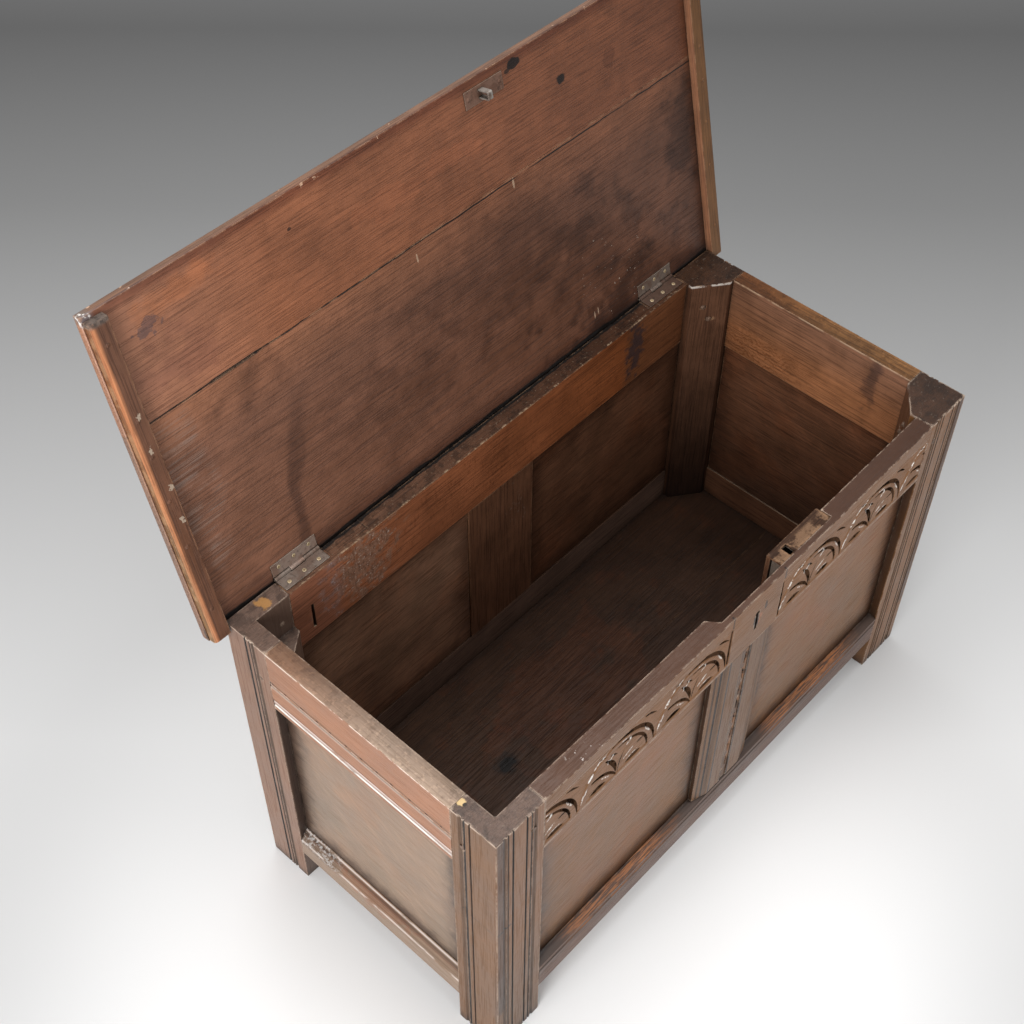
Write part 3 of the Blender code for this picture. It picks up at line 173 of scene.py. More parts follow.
class Shade:
    """The nodes of one material."""

    def __init__(self, name):
        self.material = bpy.data.materials.new(name)
        self.material.use_nodes = True
        self.tree = self.material.node_tree
        self.shader = self.tree.nodes["Principled BSDF"]
        spots = self.node("ShaderNodeTexCoord").outputs
        self.place = spots["Object"]
        self.normal = spots["Normal"]

    def feed(self, socket, value):
        if isinstance(value, bpy.types.NodeSocket):
            self.tree.links.new(value, socket)
        else:
            socket.default_value = value

    def give(self, name, value):
        self.feed(self.shader.inputs[name], value)

    def node(self, kind, *inputs, **settings):
        """A node with its first sockets fed in order, and others and its settings by name."""
        made = self.tree.nodes.new(kind)
        for key, value in settings.items():
            if key in made.inputs:
                self.feed(made.inputs[key], value)
            else:
                setattr(made, key, value)
        for socket, value in zip(made.inputs, inputs):
            self.feed(socket, value)
        return made

    def math(self, operation, first, second=0):
        return self.node("ShaderNodeMath", first, second, operation=operation).outputs[0]

    def plus(self, first, second):
        return self.math("ADD", first, second)

    def minus(self, first, second):
        return self.math("SUBTRACT", first, second)

    def most(self, first, second):
        return self.math("MAXIMUM", first, second)

    def size(self, value):
        return self.math("ABSOLUTE", value)

    def times(self, *factors):
        result = factors[0]
        for factor in factors[1:]:
            result = self.math("MULTIPLY", result, factor)
        return result

    def run(self, value, low, high, first=0, last=1, kind="LINEAR"):
        """A run from first at low to last at high."""
        made = self.node("ShaderNodeMapRange", value, low, high, first, last, interpolation_type=kind)
        return made.outputs[0]

    def band(self, value, low, high):
        """0 below low, 1 above high, smooth between; low may be the larger."""
        return self.run(value, low, high, kind="SMOOTHSTEP")

    def mix(self, share, first, second, blend="MIX"):
        made = self.node("ShaderNodeMix", data_type="RGBA", blend_type=blend, clamp_factor=True)
        self.feed(made.inputs[0], share)
        self.feed(made.inputs[6], first)
        self.feed(made.inputs[7], second)
        return made.outputs[2]

    def paint(self, shares, colour):
        """Lays a colour on by the product of the shares."""
        self.colour = self.mix(self.times(*shares), self.colour, srgb(*colour))

    def vector_math(self, operation, first, second, out="Vector"):
        return self.node("ShaderNodeVectorMath", first, second, operation=operation).outputs[out]

    def noise(self, vector, scale=1, detail=3, rough=0.55, twist=0):
        return self.node("ShaderNodeTexNoise", vector, Scale=scale, Detail=detail, Roughness=rough,
                         Distortion=twist).outputs[0]

    def stretched(self, vector, factors, detail=3, rough=0.55, twist=0):
        return self.noise(self.vector_math("MULTIPLY", vector, factors), 1, detail, rough, twist)

    def ramp(self, value, stops):
        made = self.node("ShaderNodeValToRGB", value)
        points = made.color_ramp.elements
        while len(points) < len(stops):
            points.new(0.5)
        for point, (place, colour) in zip(points, stops):
            point.position = place
            point.color = colour
        return made.outputs[0]

    def parts(self, vector):
        return self.node("ShaderNodeSeparateXYZ", vector).outputs

    def vector(self, x, y, z):
        return self.node("ShaderNodeCombineXYZ", x, y, z).outputs[0]

    def hollow(self, distance, inside=False):
        """1 in the open, less where a point is closed in (or, inside, near an edge)."""
        return self.node("ShaderNodeAmbientOcclusion", Distance=distance, samples=4, inside=inside,
                         only_local=inside).outputs["AO"]

    def attribute(self, name):
        return self.node("ShaderNodeAttribute", attribute_name=name).outputs["Fac"]

    def bump(self, height, strength, distance):
        """Bump over edges that are rounded for the light only."""
        rounded = self.node("ShaderNodeBevel", Radius=0.0016, samples=4).outputs[0]
        bumpy = self.node("ShaderNodeBump", strength, distance, Height=height, Normal=rounded)
        self.give("Normal", bumpy.outputs[0])


class Oak(Shade):
    """Old oak in one piece, with its place, its grain and the colour so far."""

    def __init__(self, name, grain, tones, shift):
        super().__init__(name)
        self.x, self.y, self.z = self.parts(self.place)
        self.looks = self.parts(self.normal)
        a, b, c = self.x, self.y, self.z
        if grain.startswith("lid"):
            a, b, c = self.u, self.v, self.w = self.parts(self.shut())
        order = {"x": (a, b, c), "y": (b, a, c), "z": (c, a, b)}[grain[-1]]
        self.board = self.vector_math("ADD", self.vector(*order), (shift, shift * 1.7, shift * 0.6))
        self.highlights_and_marks = []
        self.colour = srgb(*tones.get("", FAWN))
        # Each face takes a tone by the way it turns: its own colour, partly painted light and shade
        for way, tone in tones.items():
            if way:
                self.paint((self.facing(way),), tone)

    def shut(self):
        """The place as if the lid were shut: x, y towards the front, z up, from the hinge."""
        turn = self.node("ShaderNodeVectorRotate", self.place, HINGE, Angle=LID_OPEN, rotation_type="X_AXIS")
        moved = self.vector_math("SUBTRACT", turn.outputs[0], HINGE)
        return self.vector_math("MULTIPLY", moved, (1, -1, 1))

    def facing(self, way, low=0.5, high=0.85):
        """1 where the face looks that way, such as -X."""
        side = self.looks["XYZ".index(way[1])]
        sign = -1 if way[0] == "-" else 1
        return self.band(self.times(side, sign), low, high)

    def near_front(self, none, full):
        """0 at one depth behind the front and 1 at another; so with the ends and the top."""
        return self.band(self.y, FRONT_Y + none, FRONT_Y + full)

    def near_end(self, none, full):
        return self.band(self.size(self.x), END_X - none, END_X - full)

    def near_top(self, none, full):
        return self.band(self.z, TOP_Z - none, TOP_Z - full)

    def tint(self, shares, factors):
        """Multiplies the colour, by the product of the shares."""
        self.colour = self.mix(self.times(*shares), self.colour, (*factors, 1), "MULTIPLY")

    def highlight_and_mark(self, shares, colour=HIGHLIGHT_WHITE):
        """A mark laid over the dirt and painted shade at the end: mostly a painted highlight, else a worn
        colour.
        """
        self.highlights_and_marks.append((shares, colour))

    def fade(self, value, low, high, first, last, *shares):
        """Multiplies the colour by one tint at low and another at high."""
        tone = self.mix(self.run(value, low, high), (*first, 1), (*last, 1))
        share = self.times(*shares) if shares else 1
        self.colour = self.mix(share, self.colour, tone, "MULTIPLY")

    def line(self, value, centre, half, soft=0.0007):
        """1 within half of the centre."""
        return self.band(self.size(self.minus(value, centre)), half + soft, half)

    def span(self, value, low, high, soft):
        """1 between low and high."""
        return self.times(self.band(value, low - soft, low), self.band(value, high + soft, high))

    def patches(self, scale, low, high, detail=3, rough=0.55):
        """Ragged patches: noise, cut off between low and high."""
        return self.band(self.noise(self.place, scale, detail, rough), low, high)

    def fibres(self, factors, low, high, detail=3, rough=0.55):
        """Ragged streaks: stretched noise, cut off between low and high."""
        return self.band(self.stretched(self.place, factors, detail, rough), low, high)

    def wave(self, scale, reach, detail=3, rough=0.55):
        """A wandering number, to half the reach either way."""
        return self.times(self.minus(self.noise(self.place, scale, detail, rough), 0.5), reach)

    def spot(self, plane, centre, reach, ragged=0.4, scale=60, soft=0.15):
        """1 inside a ragged oval in a plane such as xz."""
        a, b = (self.math("DIVIDE", self.minus(getattr(self, axis), middle), half)
                for axis, middle, half in zip(plane, centre, reach))
        far = self.math("SQRT", self.plus(self.times(a, a), self.times(b, b)))
        return self.band(self.plus(far, self.wave(scale, ragged * 4)), 0.9 + soft, 0.9 - soft)

    def grain(self, streaks, mottling, dark, pale):
        """Streaks, mottling, dark pores and pale flecks over the colour."""
        self.streak = self.stretched(self.board, (5, 230, 230), 5, 0.62, 0.35)
        self.cloud = self.noise(self.board, 13, 6, 0.68)
        fine = self.stretched(self.board, (16, 620, 620), 2, 0.5, 0.15)
        level = self.plus(self.times(self.minus(self.streak, 0.5), 10 * streaks),
                          self.times(self.minus(self.cloud, 0.5), 10 * mottling))
        level = self.most(self.plus(level, 1), 0.25)
        self.colour = self.mix(1, self.colour, self.vector(level, level, level), "MULTIPLY")
        self.pores = self.band(fine, 0.52, 0.62)
        self.tint((self.pores, dark), (0.3, 0.25, 0.23))
        self.tint((self.band(fine, 0.46, 0.3), pale), (1.45, 1.38, 1.32))

    def finish(self, gloss, wear, dirt_and_shade, bare, shine=SHINE, ridge=1):
        """Bare rubbed edges, dirt and painted shade in the corners, painted highlights and late marks, gloss
        and bump.
        """
        edge = self.band(self.hollow(0.005, True), 0.72, 0.42)
        self.paint((edge, self.patches(55, 0.42, 0.56, 5, 0.68), wear), bare)
        # Dirt and painted shade where a point is closed in
        self.paint((self.band(self.hollow(0.028), 0.86, 0.25), dirt_and_shade), DIRT_AND_SHADE)
        for shares, colour in self.highlights_and_marks:
            self.paint(shares, colour)
        self.give("Base Color", self.colour)
        rough = self.plus(gloss - 0.16, self.times(self.cloud, 0.3))
        rough = self.plus(rough, self.times(self.pores, 0.15))
        self.give("Roughness", rough)
        self.give("Specular IOR Level", shine)
        height = self.minus(self.times(self.streak, 0.7 * ridge), self.times(self.pores, 0.45 * ridge))
        height = self.plus(height, self.noise(self.place, 60, 5, 0.65))
        self.bump(height, 0.45, 0.0012)
        return self.material

    def matt(self, share):
        """Takes the shine off where the share is 1."""
        self.give("Specular IOR Level", self.times(self.minus(1, share), SHINE))


# Painters: places are in metres in the row frame, or on the lid along u and out from the hinge along v.
# Colours are screen values, tints are factors, and a last share is how strong the mark is.

# Depths behind an outer face where its marks begin and are full
SKIN = (0.005, 0.0042)
# A cloudy stain: how ragged, at what scale and how soft
CLOUDY = (1.3, 24, 0.7)

# Tints of the dirt and painted shade in scratched lines
FAINT = (0.6, 0.59, 0.55)
DARK = (0.3, 0.27, 0.25)
BLACK = (0.06, 0.05, 0.05)
LINE_SOFT = 0.0008
# Scratched lines: centre and half width in millimetres, and dirt and painted shade
STILE_FRONT_LINES = ((15, 3.2, FAINT), (21.3, 0.9, DARK), (29.9, 1.2, BLACK), (54.3, 1.1, BLACK),
                     (62.9, 1.2, DARK), (69.2, 3.2, FAINT))
STILE_END_LINES = ((43.6, 1.1, DARK), (52.5, 1.5, BLACK), (59.2, 3.2, FAINT))
REAR_STILE_LINES = ((36.8, 1.7, BLACK), (45, 0.8, DARK), (51.2, 3.4, FAINT))
LEDGE_LINES = ((140.5, 0.8, FAINT), (116, 0.8, DARK), (106.5, 0.8, DARK))
MUNTIN_LINES = ((-58, 1.2, DARK), (-50, 1.4, BLACK), (-44, 2.6, FAINT), (-35.5, 1.3, BLACK),
                (-8.3, 0.8, DARK), (9.4, 1.2, BLACK), (50.5, 0.8, BLACK))


def paint_lines(oak, where, value, lines):
    for centre, half, dirt_and_shade in lines:
        oak.tint((where, oak.line(value, centre / MM, half / MM, LINE_SOFT)), dirt_and_shade)


def paint_returns(oak):
    """Dirt and painted shade on the edges round the sunk panels."""
    above = oak.band(oak.z, 0.1, 0.12)
    shallow, deep, soft = 0.003, 0.0155, 0.0015
    ends = oak.span(oak.size(oak.x), END_X - deep, END_X - shallow, soft)
    ends = oak.times(ends, oak.most(oak.facing("-Y"), oak.facing("+Y")), above)
    front = oak.span(oak.y, FRONT_Y + shallow, FRONT_Y + deep, soft)
    front = oak.times(front, oak.most(oak.facing("-X"), oak.facing("+X")), above)
    front = oak.times(front, oak.near_end(0.0035, 0.005))
    # Dirt and painted shade on the returns
    oak.tint((oak.most(ends, front), 0.9), (0.34, 0.28, 0.26))


def paint_stile(oak, name):
    """Dark lines of dirt and painted shade in the mouldings, worn top arrises lit by painted highlights, and
    grey end grain.
    """
    paint_returns(oak)
    front = name.startswith("front")
    up = oak.facing("+Z")
    below = oak.minus(1, up)
    from_end = oak.minus(END_X, oak.size(oak.x))
    on_end = oak.band(from_end, *SKIN)
    oak.tint((up, oak.fibres((90, 520, 10), 0.48, 0.62), 0.6), (0.6, 0.57, 0.55))
    if front:
        on_front = oak.near_front(*SKIN)
        across = oak.minus(oak.y, FRONT_Y)
        paint_lines(oak, oak.times(on_front, below), from_end, STILE_FRONT_LINES)
        paint_lines(oak, oak.times(on_end, below), across, STILE_END_LINES)
        outer = oak.most(on_front, on_end)
        inner = oak.band(across, 0.02, 0.024)
    else:
        across = oak.minus(REAR_Y, oak.y)
        paint_lines(oak, oak.times(on_end, below), across, REAR_STILE_LINES)
        outer = on_end
        inner = oak.band(across, 0.03, 0.034)
    wear_and_highlight = oak.patches(70, 0.42, 0.56, 4, 0.65)
    rim = oak.times(oak.near_top(0.0045, 0.0008), below)
    # Pale worn top arris, also a painted highlight
    oak.paint((rim, outer, wear_and_highlight, 0.7), (226, 204, 184))
    foot = oak.band(oak.plus(oak.z, oak.times(oak.noise(oak.place, 40), 0.03)), 0.045, 0.012)
    oak.tint((foot, 0.7), (0.4, 0.36, 0.34))
    oak.tint((up, oak.patches(48, 0.44, 0.62, 5, 0.68), 0.7), (0.42, 0.42, 0.42))
    grit = oak.patches(210, 0.64, 0.72, 2)
    oak.paint((up, grit, 0.14), (176, 160, 142))
    if "right" in name:
        inside = oak.times(oak.band(from_end, 0.03, 0.034), inner)
        # Painted shade: darker and cooler down into the well
        oak.fade(oak.z, 0.13, 0.5, (0.26, 0.28, 0.34), (1.25, 1.25, 1.28), inside)
        # Painted highlight along the inner top arris
        arris = oak.times(inside, oak.near_top(0.005, 0.003), wear_and_highlight, below)
        oak.highlight_and_mark((arris, 0.3 if front else 0.8), (226, 216, 206))
    if name == "front_left_stile":
        oak.fade(oak.z, 0.06, 0.38, (0.7, 0.74, 0.82), (1.04, 1, 0.96), on_front, below)
        scratch = oak.spot("xz", (-0.485, 0.358), (0.016, 0.0022), 0.3, 90)
        oak.paint((scratch, 0.9), (30, 24, 21))
        oak.paint((up, oak.spot("xy", (-0.4835, -0.23), (0.006, 0.0075))), (216, 184, 130))
        oak.paint((up, oak.spot("xy", (-0.4835, -0.236), (0.0035, 0.003))), (50, 38, 30))
    if name == "rear_left_stile":
        bare = oak.spot("xy", (-0.447, 0.162), (0.009, 0.013), 1, 90, 0.4)
        oak.paint((up, bare, 0.8), (176, 128, 72))


# Panels: the axis across, its low and high edge, the bottom, the top and how dark the border is
BORDERS = {
    "left_panel": ("y", -0.2267, 0.1003, 0.132, 0.4685, 0.9),
    "right_panel": ("y", -0.2267, 0.1003, 0.132, 0.4685, 0.5),
    "front_left_panel": ("x", -0.415, -0.062, 0.142, 0.476, 0.9),
    "front_right_panel": ("x", 0.062, 0.412, 0.142, 0.476, 0.9),
    "rear_left_panel": ("x", -0.415, -0.08, 0.161, 0.47, 0.6),
    "rear_right_panel": ("x", 0.06, 0.415, 0.161, 0.47, 0.6),
}


def paint_panel(oak, name):
    """Clouds, slanting streaks and soft dark dirt and painted shade round the edge of a panel."""
    axis, low, high, bottom, top, deep = BORDERS[name]
    across = getattr(oak, axis)
    cloud = oak.noise(oak.place, 7, 4, 0.6)
    oak.tint((oak.band(cloud, 0.5, 0.66), 0.8), (1.1, 0.96, 0.86))
    oak.tint((oak.band(cloud, 0.5, 0.36), 0.8), (0.86, 0.9, 0.9))
    slant = oak.vector(oak.plus(across, oak.times(oak.z, 0.8)), oak.minus(oak.z, oak.times(across, 0.8)), 0)
    streaks = oak.band(oak.stretched(slant, (12, 75, 1), 4), 0.5, 0.64)
    oak.tint((streaks, 0.5), (1.25, 1.22, 1.18))
    # The dark border: dirt and painted shade from the frame round the sunk panel
    near = oak.minus(across, low)
    for gap in (oak.minus(high, across), oak.minus(oak.z, bottom), oak.minus(top, oak.z)):
        near = oak.math("MINIMUM", near, gap)
    near = oak.plus(near, oak.wave(45, 0.05, 5, 0.65))
    oak.tint((oak.band(near, 0.046, -0.004), deep), (0.13, 0.09, 0.08))
    if name.startswith("front"):
        oak.fade(oak.z, 0.18, 0.42, (0.86, 0.9, 0.96), (1.08, 1.03, 0.98), oak.facing("-Y"))
    if name == "right_panel":
        # Painted shade: darker and cooler towards the bottom of the well
        oak.fade(oak.z, 0.17, 0.43, (0.55, 0.58, 0.62), (1.25, 1.2, 1.15))


def paint_end_rail(oak):
    """Scratch lines, dots, worn arrises and painted highlights along the mouldings of an end's top rail."""
    face = oak.times(oak.near_end(*SKIN), oak.near_top(0.0002, 0.0008))
    oak.tint((face, oak.line(oak.z, 0.531, 0.0016), 0.6), (0.62, 0.54, 0.5))
    beat = oak.minus(oak.math("FRACT", oak.times(oak.plus(oak.y, 1), 36)), 0.5)
    beat = oak.plus(beat, oak.wave(24, 0.7))
    dots = oak.times(oak.line(beat, 0, 0.06, 0.04), oak.line(oak.z, 0.529, 0.0018))
    oak.tint((face, dots, 0.9), (0.22, 0.18, 0.2))
    # Painted highlights: pale dashes in the scratch line, white lines along the lower mouldings and a white
    # top arris
    oak.highlight_and_mark((face, oak.line(oak.z, 0.5188, 0.0012), 0.34), (226, 206, 194))
    dashes = oak.fibres((1, 70, 30), 0.46, 0.54)
    oak.highlight_and_mark((face, oak.line(oak.z, 0.5238, 0.0008), dashes, 0.5), (244, 232, 224))
    wear_and_highlight = oak.fibres((60, 18, 60), 0.3, 0.5, 4)
    wear_and_highlight = oak.times(wear_and_highlight, oak.run(oak.x, -0.1, 0.1, 1, 0.35))
    oak.highlight_and_mark((face, oak.span(oak.z, 0.4752, 0.4872, 0.0006), wear_and_highlight, 0.5), (204, 190, 184))
    oak.highlight_and_mark((face, oak.line(oak.z, 0.4806, 0.0005), 0.5), (120, 104, 96))
    oak.highlight_and_mark((face, oak.line(oak.z, 0.4858, 0.0011), wear_and_highlight, 0.7), (240, 226, 218))
    oak.highlight_and_mark((face, oak.line(oak.z, 0.4767, 0.0013), wear_and_highlight, 0.9))
    oak.tint((face, oak.line(oak.z, 0.4915, 0.001)), (0.72, 0.62, 0.56))
    rim = oak.times(oak.near_top(0.0045, 0.0015), face)
    oak.highlight_and_mark((rim, oak.patches(45, 0.4, 0.52, 5, 0.68), 0.85), (255, 240, 224))
    up = oak.times(oak.facing("+Z"), oak.near_top(0.002, 0.001))
    inward = oak.minus(END_X, oak.size(oak.x))
    oak.fade(inward, 0, 0.026, (1.36, 1.36, 1.36), (0.76, 0.73, 0.7), up)
    oak.fade(oak.y, -0.1, 0.06, (1.06, 1.12, 1.18), (0.68, 0.55, 0.48), up)
    oak.tint((up, oak.patches(150, 0.54, 0.64, 3, 0.65), 0.7), (1.4, 1.4, 1.4))
    oak.tint((up, oak.patches(60, 0.5, 0.62, 4, 0.68), 0.6), (0.6, 0.57, 0.55))


def paint_right_rail(oak):
    """The ringed inside of the right end's top rail."""
    inner = oak.facing("-X")
    oak.fade(oak.z, 0.5, 0.58, (1, 0.94, 0.8), (0.92, 0.98, 1.08), inner)
    oak.fade(oak.y, 0.08, -0.1, (0.78, 0.76, 0.74), (1, 1, 1), inner)
    stain = oak.spot("yz", (-0.166, 0.545), (0.011, 0.06), 0.9, 50, 0.6)
    oak.tint((inner, stain, 0.8), (0.38, 0.42, 0.55))
    low = oak.band(oak.plus(oak.z, oak.times(oak.y, 0.1)), 0.535, 0.49)
    rings = oak.math("SINE", oak.times(oak.plus(oak.z, oak.times(oak.cloud, 0.1)), 700))
    oak.tint((inner, low, oak.band(rings, 0, 0.9), oak.band(oak.y, -0.1, 0.02), 0.8), (0.62, 0.52, 0.44))
    oak.tint((inner, oak.minus(1, low), 0.6), (0.7, 0.74, 0.8))
    # Pale worn inner top arris, also a painted highlight
    rim = oak.times(oak.near_top(0.004, 0.001), inner)
    oak.paint((rim, oak.patches(30, 0.4, 0.55, 4), 0.7), (216, 186, 156))
    paint_end_rail(oak)


def paint_end_ledge(oak):
    """Dark lines of dirt and painted shade, painted highlights and pale flaking on the steps of an end's
    bottom rail.
    """
    face = oak.near_end(0.016, 0.014)
    oak.tint((face, oak.span(oak.z, 0.1225, 0.1255, 0.001), 0.8), (0.7, 0.58, 0.54))
    oak.tint((face, oak.span(oak.z, 0.1145, 0.118, 0.001), 0.6), (0.74, 0.7, 0.66))
    wear_and_highlight = oak.fibres((60, 14, 60), 0.36, 0.52, 4, 0.65)
    # Painted highlights: white lines along the step arrises
    oak.highlight_and_mark((face, oak.line(oak.z, 0.1128, 0.0006, 0.0005), wear_and_highlight, 0.7), (226, 212, 202))
    oak.highlight_and_mark((face, oak.line(oak.z, 0.129, 0.0005, 0.0005), wear_and_highlight, 0.7), (232, 218, 210))
    oak.tint((face, oak.line(oak.z, 0.1265, 0.0006), 0.8), (0.4, 0.34, 0.32))
    # Pale flaking at the rear end, partly a painted highlight
    rear = oak.times(oak.band(oak.y, 0.005, 0.05), oak.span(oak.z, 0.106, 0.134, 0.002),
                     oak.band(oak.x, 0, -0.1))
    oak.tint((face, rear, 0.7), (0.56, 0.54, 0.54))
    oak.highlight_and_mark((face, rear, oak.patches(200, 0.5, 0.6, 5, 0.72), 0.55), (222, 219, 216))
    oak.tint((face, oak.spot("yz", (-0.06, 0.12), (0.07, 0.02), 0.8), 0.5), (1.1, 0.78, 0.66))


# Wear round the old keyhole, with its ragged hole painted dark as shade: place, half sizes, raggedness,
# strength and colour
KEYHOLE_MARKS = (
    ((0.0175, 0.528), (0.0045, 0.016), (0.9, 110), 0.6, (172, 104, 66)),
    ((0.0095, 0.529), (0.0062, 0.022), (0.5,), 0.95, (22, 17, 15)),
    ((0.008, 0.519), (0.003, 0.007), (0.5,), 0.8, (150, 146, 142)),
    ((0.028, 0.548), (0.003, 0.01), (0.5,), 0.8, (34, 26, 23)),
)
# Upright grooves between the carved bands and the plain block
BLOCK_GROOVES = (-0.0472, 0.0662)


def paint_front_rail(oak):
    """The carved rail's worn top, the wear round its old keyhole, and dirt and painted shade in the hole and
    the upright grooves.
    """
    up = oak.facing("+Z")
    oak.fade(oak.x, -0.42, 0.4, (1.22, 1.24, 1.26), (0.66, 0.6, 0.54), up)
    near = oak.spot("xy", (-0.335, FRONT_Y + 0.008), (0.03, 0.018))
    oak.paint((up, oak.patches(120, 0.62, 0.68, 3, 0.65), near, 0.8), (214, 204, 196))
    front = oak.near_front(*SKIN)
    for centre, reach, shape, strength, colour in KEYHOLE_MARKS:
        oak.paint((front, oak.spot("xz", centre, reach, *shape), strength), colour)
    # Dirt and painted shade in the upright grooves
    for x in BLOCK_GROOVES:
        oak.tint((front, oak.line(oak.x, x, 0.0012)), (0.25, 0.22, 0.2))


def paint_ledge(oak):
    """The bare orange wear, a painted shadow at the panel's foot, and the lines of the front's bottom rail.
    """
    top = oak.most(oak.facing("+Z", 0.3, 0.6), oak.band(oak.z, 0.146, 0.149))
    from_middle = oak.size(oak.minus(oak.size(oak.x), 0.235))
    ragged = oak.plus(from_middle, oak.times(oak.noise(oak.place, 20), 0.1))
    reach = oak.band(ragged, 0.195, 0.12)
    # Painted shadow where the ledge meets the panel
    oak.tint((top, oak.near_front(0.007, 0.013)), (0.45, 0.36, 0.3))
    oak.tint((top, oak.minus(1, reach), 0.8), (0.52, 0.54, 0.58))
    oak.tint((top, reach, 0.6), (0.7, 0.62, 0.56))
    bare = oak.fibres((26, 520, 520), 0.44, 0.58, 5, 0.68)
    oak.paint((top, reach, bare, 0.66), (202, 126, 70))
    paint_lines(oak, oak.near_front(0.003, 0.0022), oak.z, LEDGE_LINES)


def paint_muntin(oak):
    """Bands and lines beside the chipped channel of the front muntin."""
    paint_returns(oak)
    front = oak.near_front(0.0086, 0.0082)
    paint_lines(oak, front, oak.x, MUNTIN_LINES)
    oak.tint((front, oak.span(oak.x, -0.0075, 0.0075, 0.001), 0.7), (0.55, 0.5, 0.47))


def paint_rear_rail(oak):
    """The inside, the scarred ends and the dark top, with a painted shadow at its back, of the back's top
    rail.
    """
    face = oak.facing("-Y")
    oak.fade(oak.x, -0.22, 0.25, (1.24, 1.2, 1.22), (0.92, 0.78, 0.58), face)
    scar = oak.spot("xz", (-0.29, 0.545), (0.055, 0.06), 1.2, 60, 0.5)
    oak.paint((face, scar, 0.65), (142, 112, 94))
    rough = oak.fibres((260, 90, 90), 0.46, 0.66, 5, 0.7)
    oak.tint((face, scar, rough, 0.8), (0.44, 0.38, 0.35))
    flakes = oak.patches(210, 0.57, 0.64, 4, 0.7)
    oak.paint((face, scar, flakes, 0.6), (206, 186, 172))
    oak.tint((face, oak.band(oak.x, -0.315, -0.345), 0.7), (1, 1.16, 1.55))
    oak.tint((face, oak.band(oak.x, 0.262, 0.285), 0.85), (0.6, 0.76, 1))
    iron_stain = oak.spot("xz", (0.292, 0.552), (0.016, 0.055), 1.2, 70, 0.5)
    oak.paint((face, iron_stain, 0.75), (46, 42, 47))
    up = oak.facing("+Z")
    oak.fade(oak.x, -0.34, 0.16, (1.45, 1.6, 1.75), (0.62, 0.56, 0.48), up)
    oak.tint((up, oak.patches(55, 0.46, 0.6, 5, 0.68), 0.75), (0.4, 0.4, 0.38))
    oak.paint((up, oak.patches(240, 0.62, 0.7, 2), 0.22), (158, 140, 118))
    # Painted highlight along the inner arris
    arris = oak.times(up, oak.band(oak.y, 0.1515, 0.148), oak.patches(90, 0.52, 0.6, 4, 0.68))
    oak.highlight_and_mark((arris, 0.6), (176, 150, 122))
    hatch = oak.fibres((260, 40, 60), 0.54, 0.66)
    oak.tint((face, hatch, oak.spot("xz", (-0.02, 0.53), (0.32, 0.06)), 0.5), (0.62, 0.55, 0.5))
    # A painted shadow of the gap behind the rail's top
    gap = oak.band(oak.plus(oak.y, oak.wave(60, 0.008)), REAR_Y - 0.0065, REAR_Y - 0.0045)
    oak.paint((up, gap, 0.95), (10, 8, 7))


def paint_rear_muntin(oak):
    """A pale rubbed patch on the back's muntin."""
    rubbed = oak.spot("xz", (0.022, 0.4), (0.018, 0.05), 1)
    oak.paint((rubbed, oak.patches(200, 0.58, 0.66), 0.5), (120, 98, 86))


KNOT_HOLE = (-0.188, -0.03)


def paint_floor_board(oak):
    """Warm clouds and the knot hole of the floor, darker to the right; the hole is painted black as its
    shade.
    """
    oak.fade(oak.x, -0.25, 0.45, (1.12, 1.18, 1.25), (0.66, 0.68, 0.74))
    oak.tint((oak.spot("xy", (-0.04, -0.02), (0.16, 0.09), 1.2, 12),), (1.35, 1.12, 0.98))
    oak.tint((oak.patches(26, 0.56, 0.68, 4), 0.5), (1.5, 1.15, 0.95))
    # The knot hole painted black as its shade, with a dark rim
    oak.paint((oak.spot("xy", KNOT_HOLE, (0.017, 0.013)), 0.95), (10, 8, 7))
    oak.paint((oak.spot("xy", KNOT_HOLE, (0.024, 0.019)), 0.5), (22, 16, 13))


# Heights where marks of the lid's underside and of its top begin and are full
LID_UNDER = (0.006, 0.003)
LID_TOP = (0.015, 0.018)
# The joint between the lid's boards, and where it gapes
JOINT_V = 0.3195
JOINT_GAP = (-0.4, -0.335)
# Knots of the front board: place, half sizes and strength
LID_KNOTS = (
    ((0.1586, 0.4715), (0.014, 0.007), 0.95),
    ((0.2398, 0.4116), (0.01, 0.008), 0.95),
    ((-0.2401, 0.4404), (0.004, 0.003), 0.8),
    ((0.145, 0.466), (0.006, 0.004), 0.8),
)
# Cloudy stains of the rear board: place, half sizes and strength
LID_STAINS = (
    ((0.27, 0.11), (0.1, 0.09), 0.45),
    ((0.474, 0.225), (0.035, 0.075), 0.75),
    ((0.36, 0.03), (0.14, 0.05), 0.7),
    ((0.1, 0.21), (0.16, 0.07), 0.35),
    ((-0.36, 0.28), (0.05, 0.03), 0.45),
    ((-0.12, 0.12), (0.1, 0.06), 0.3),
)
# Pale nicks of the rear board, and of the left cleat
LID_NICKS = ((0.2378, 0.03), (0.246, 0.034), (-0.0639, 0.3), (0.1229, 0.315))
CLEAT_NICKS = ((-0.5113, 0.344), (-0.5129, 0.295), (-0.505, 0.235), (-0.507, 0.185))


def paint_joint(oak):
    """The dark open joint between the lid's boards, below and above."""
    joint = oak.line(oak.plus(oak.v, oak.wave(30, 0.004)), JOINT_V, 0.0006, 0.001)
    gap = oak.times(oak.span(oak.u, *JOINT_GAP, 0.01), oak.line(oak.v, JOINT_V, 0.0018, 0.001))
    for heights in (LID_UNDER, LID_TOP):
        side = oak.band(oak.w, *heights)
        oak.paint((side, joint, oak.patches(9, 0.3, 0.44, 2)), (16, 12, 10))
        oak.paint((side, gap), (8, 7, 6))


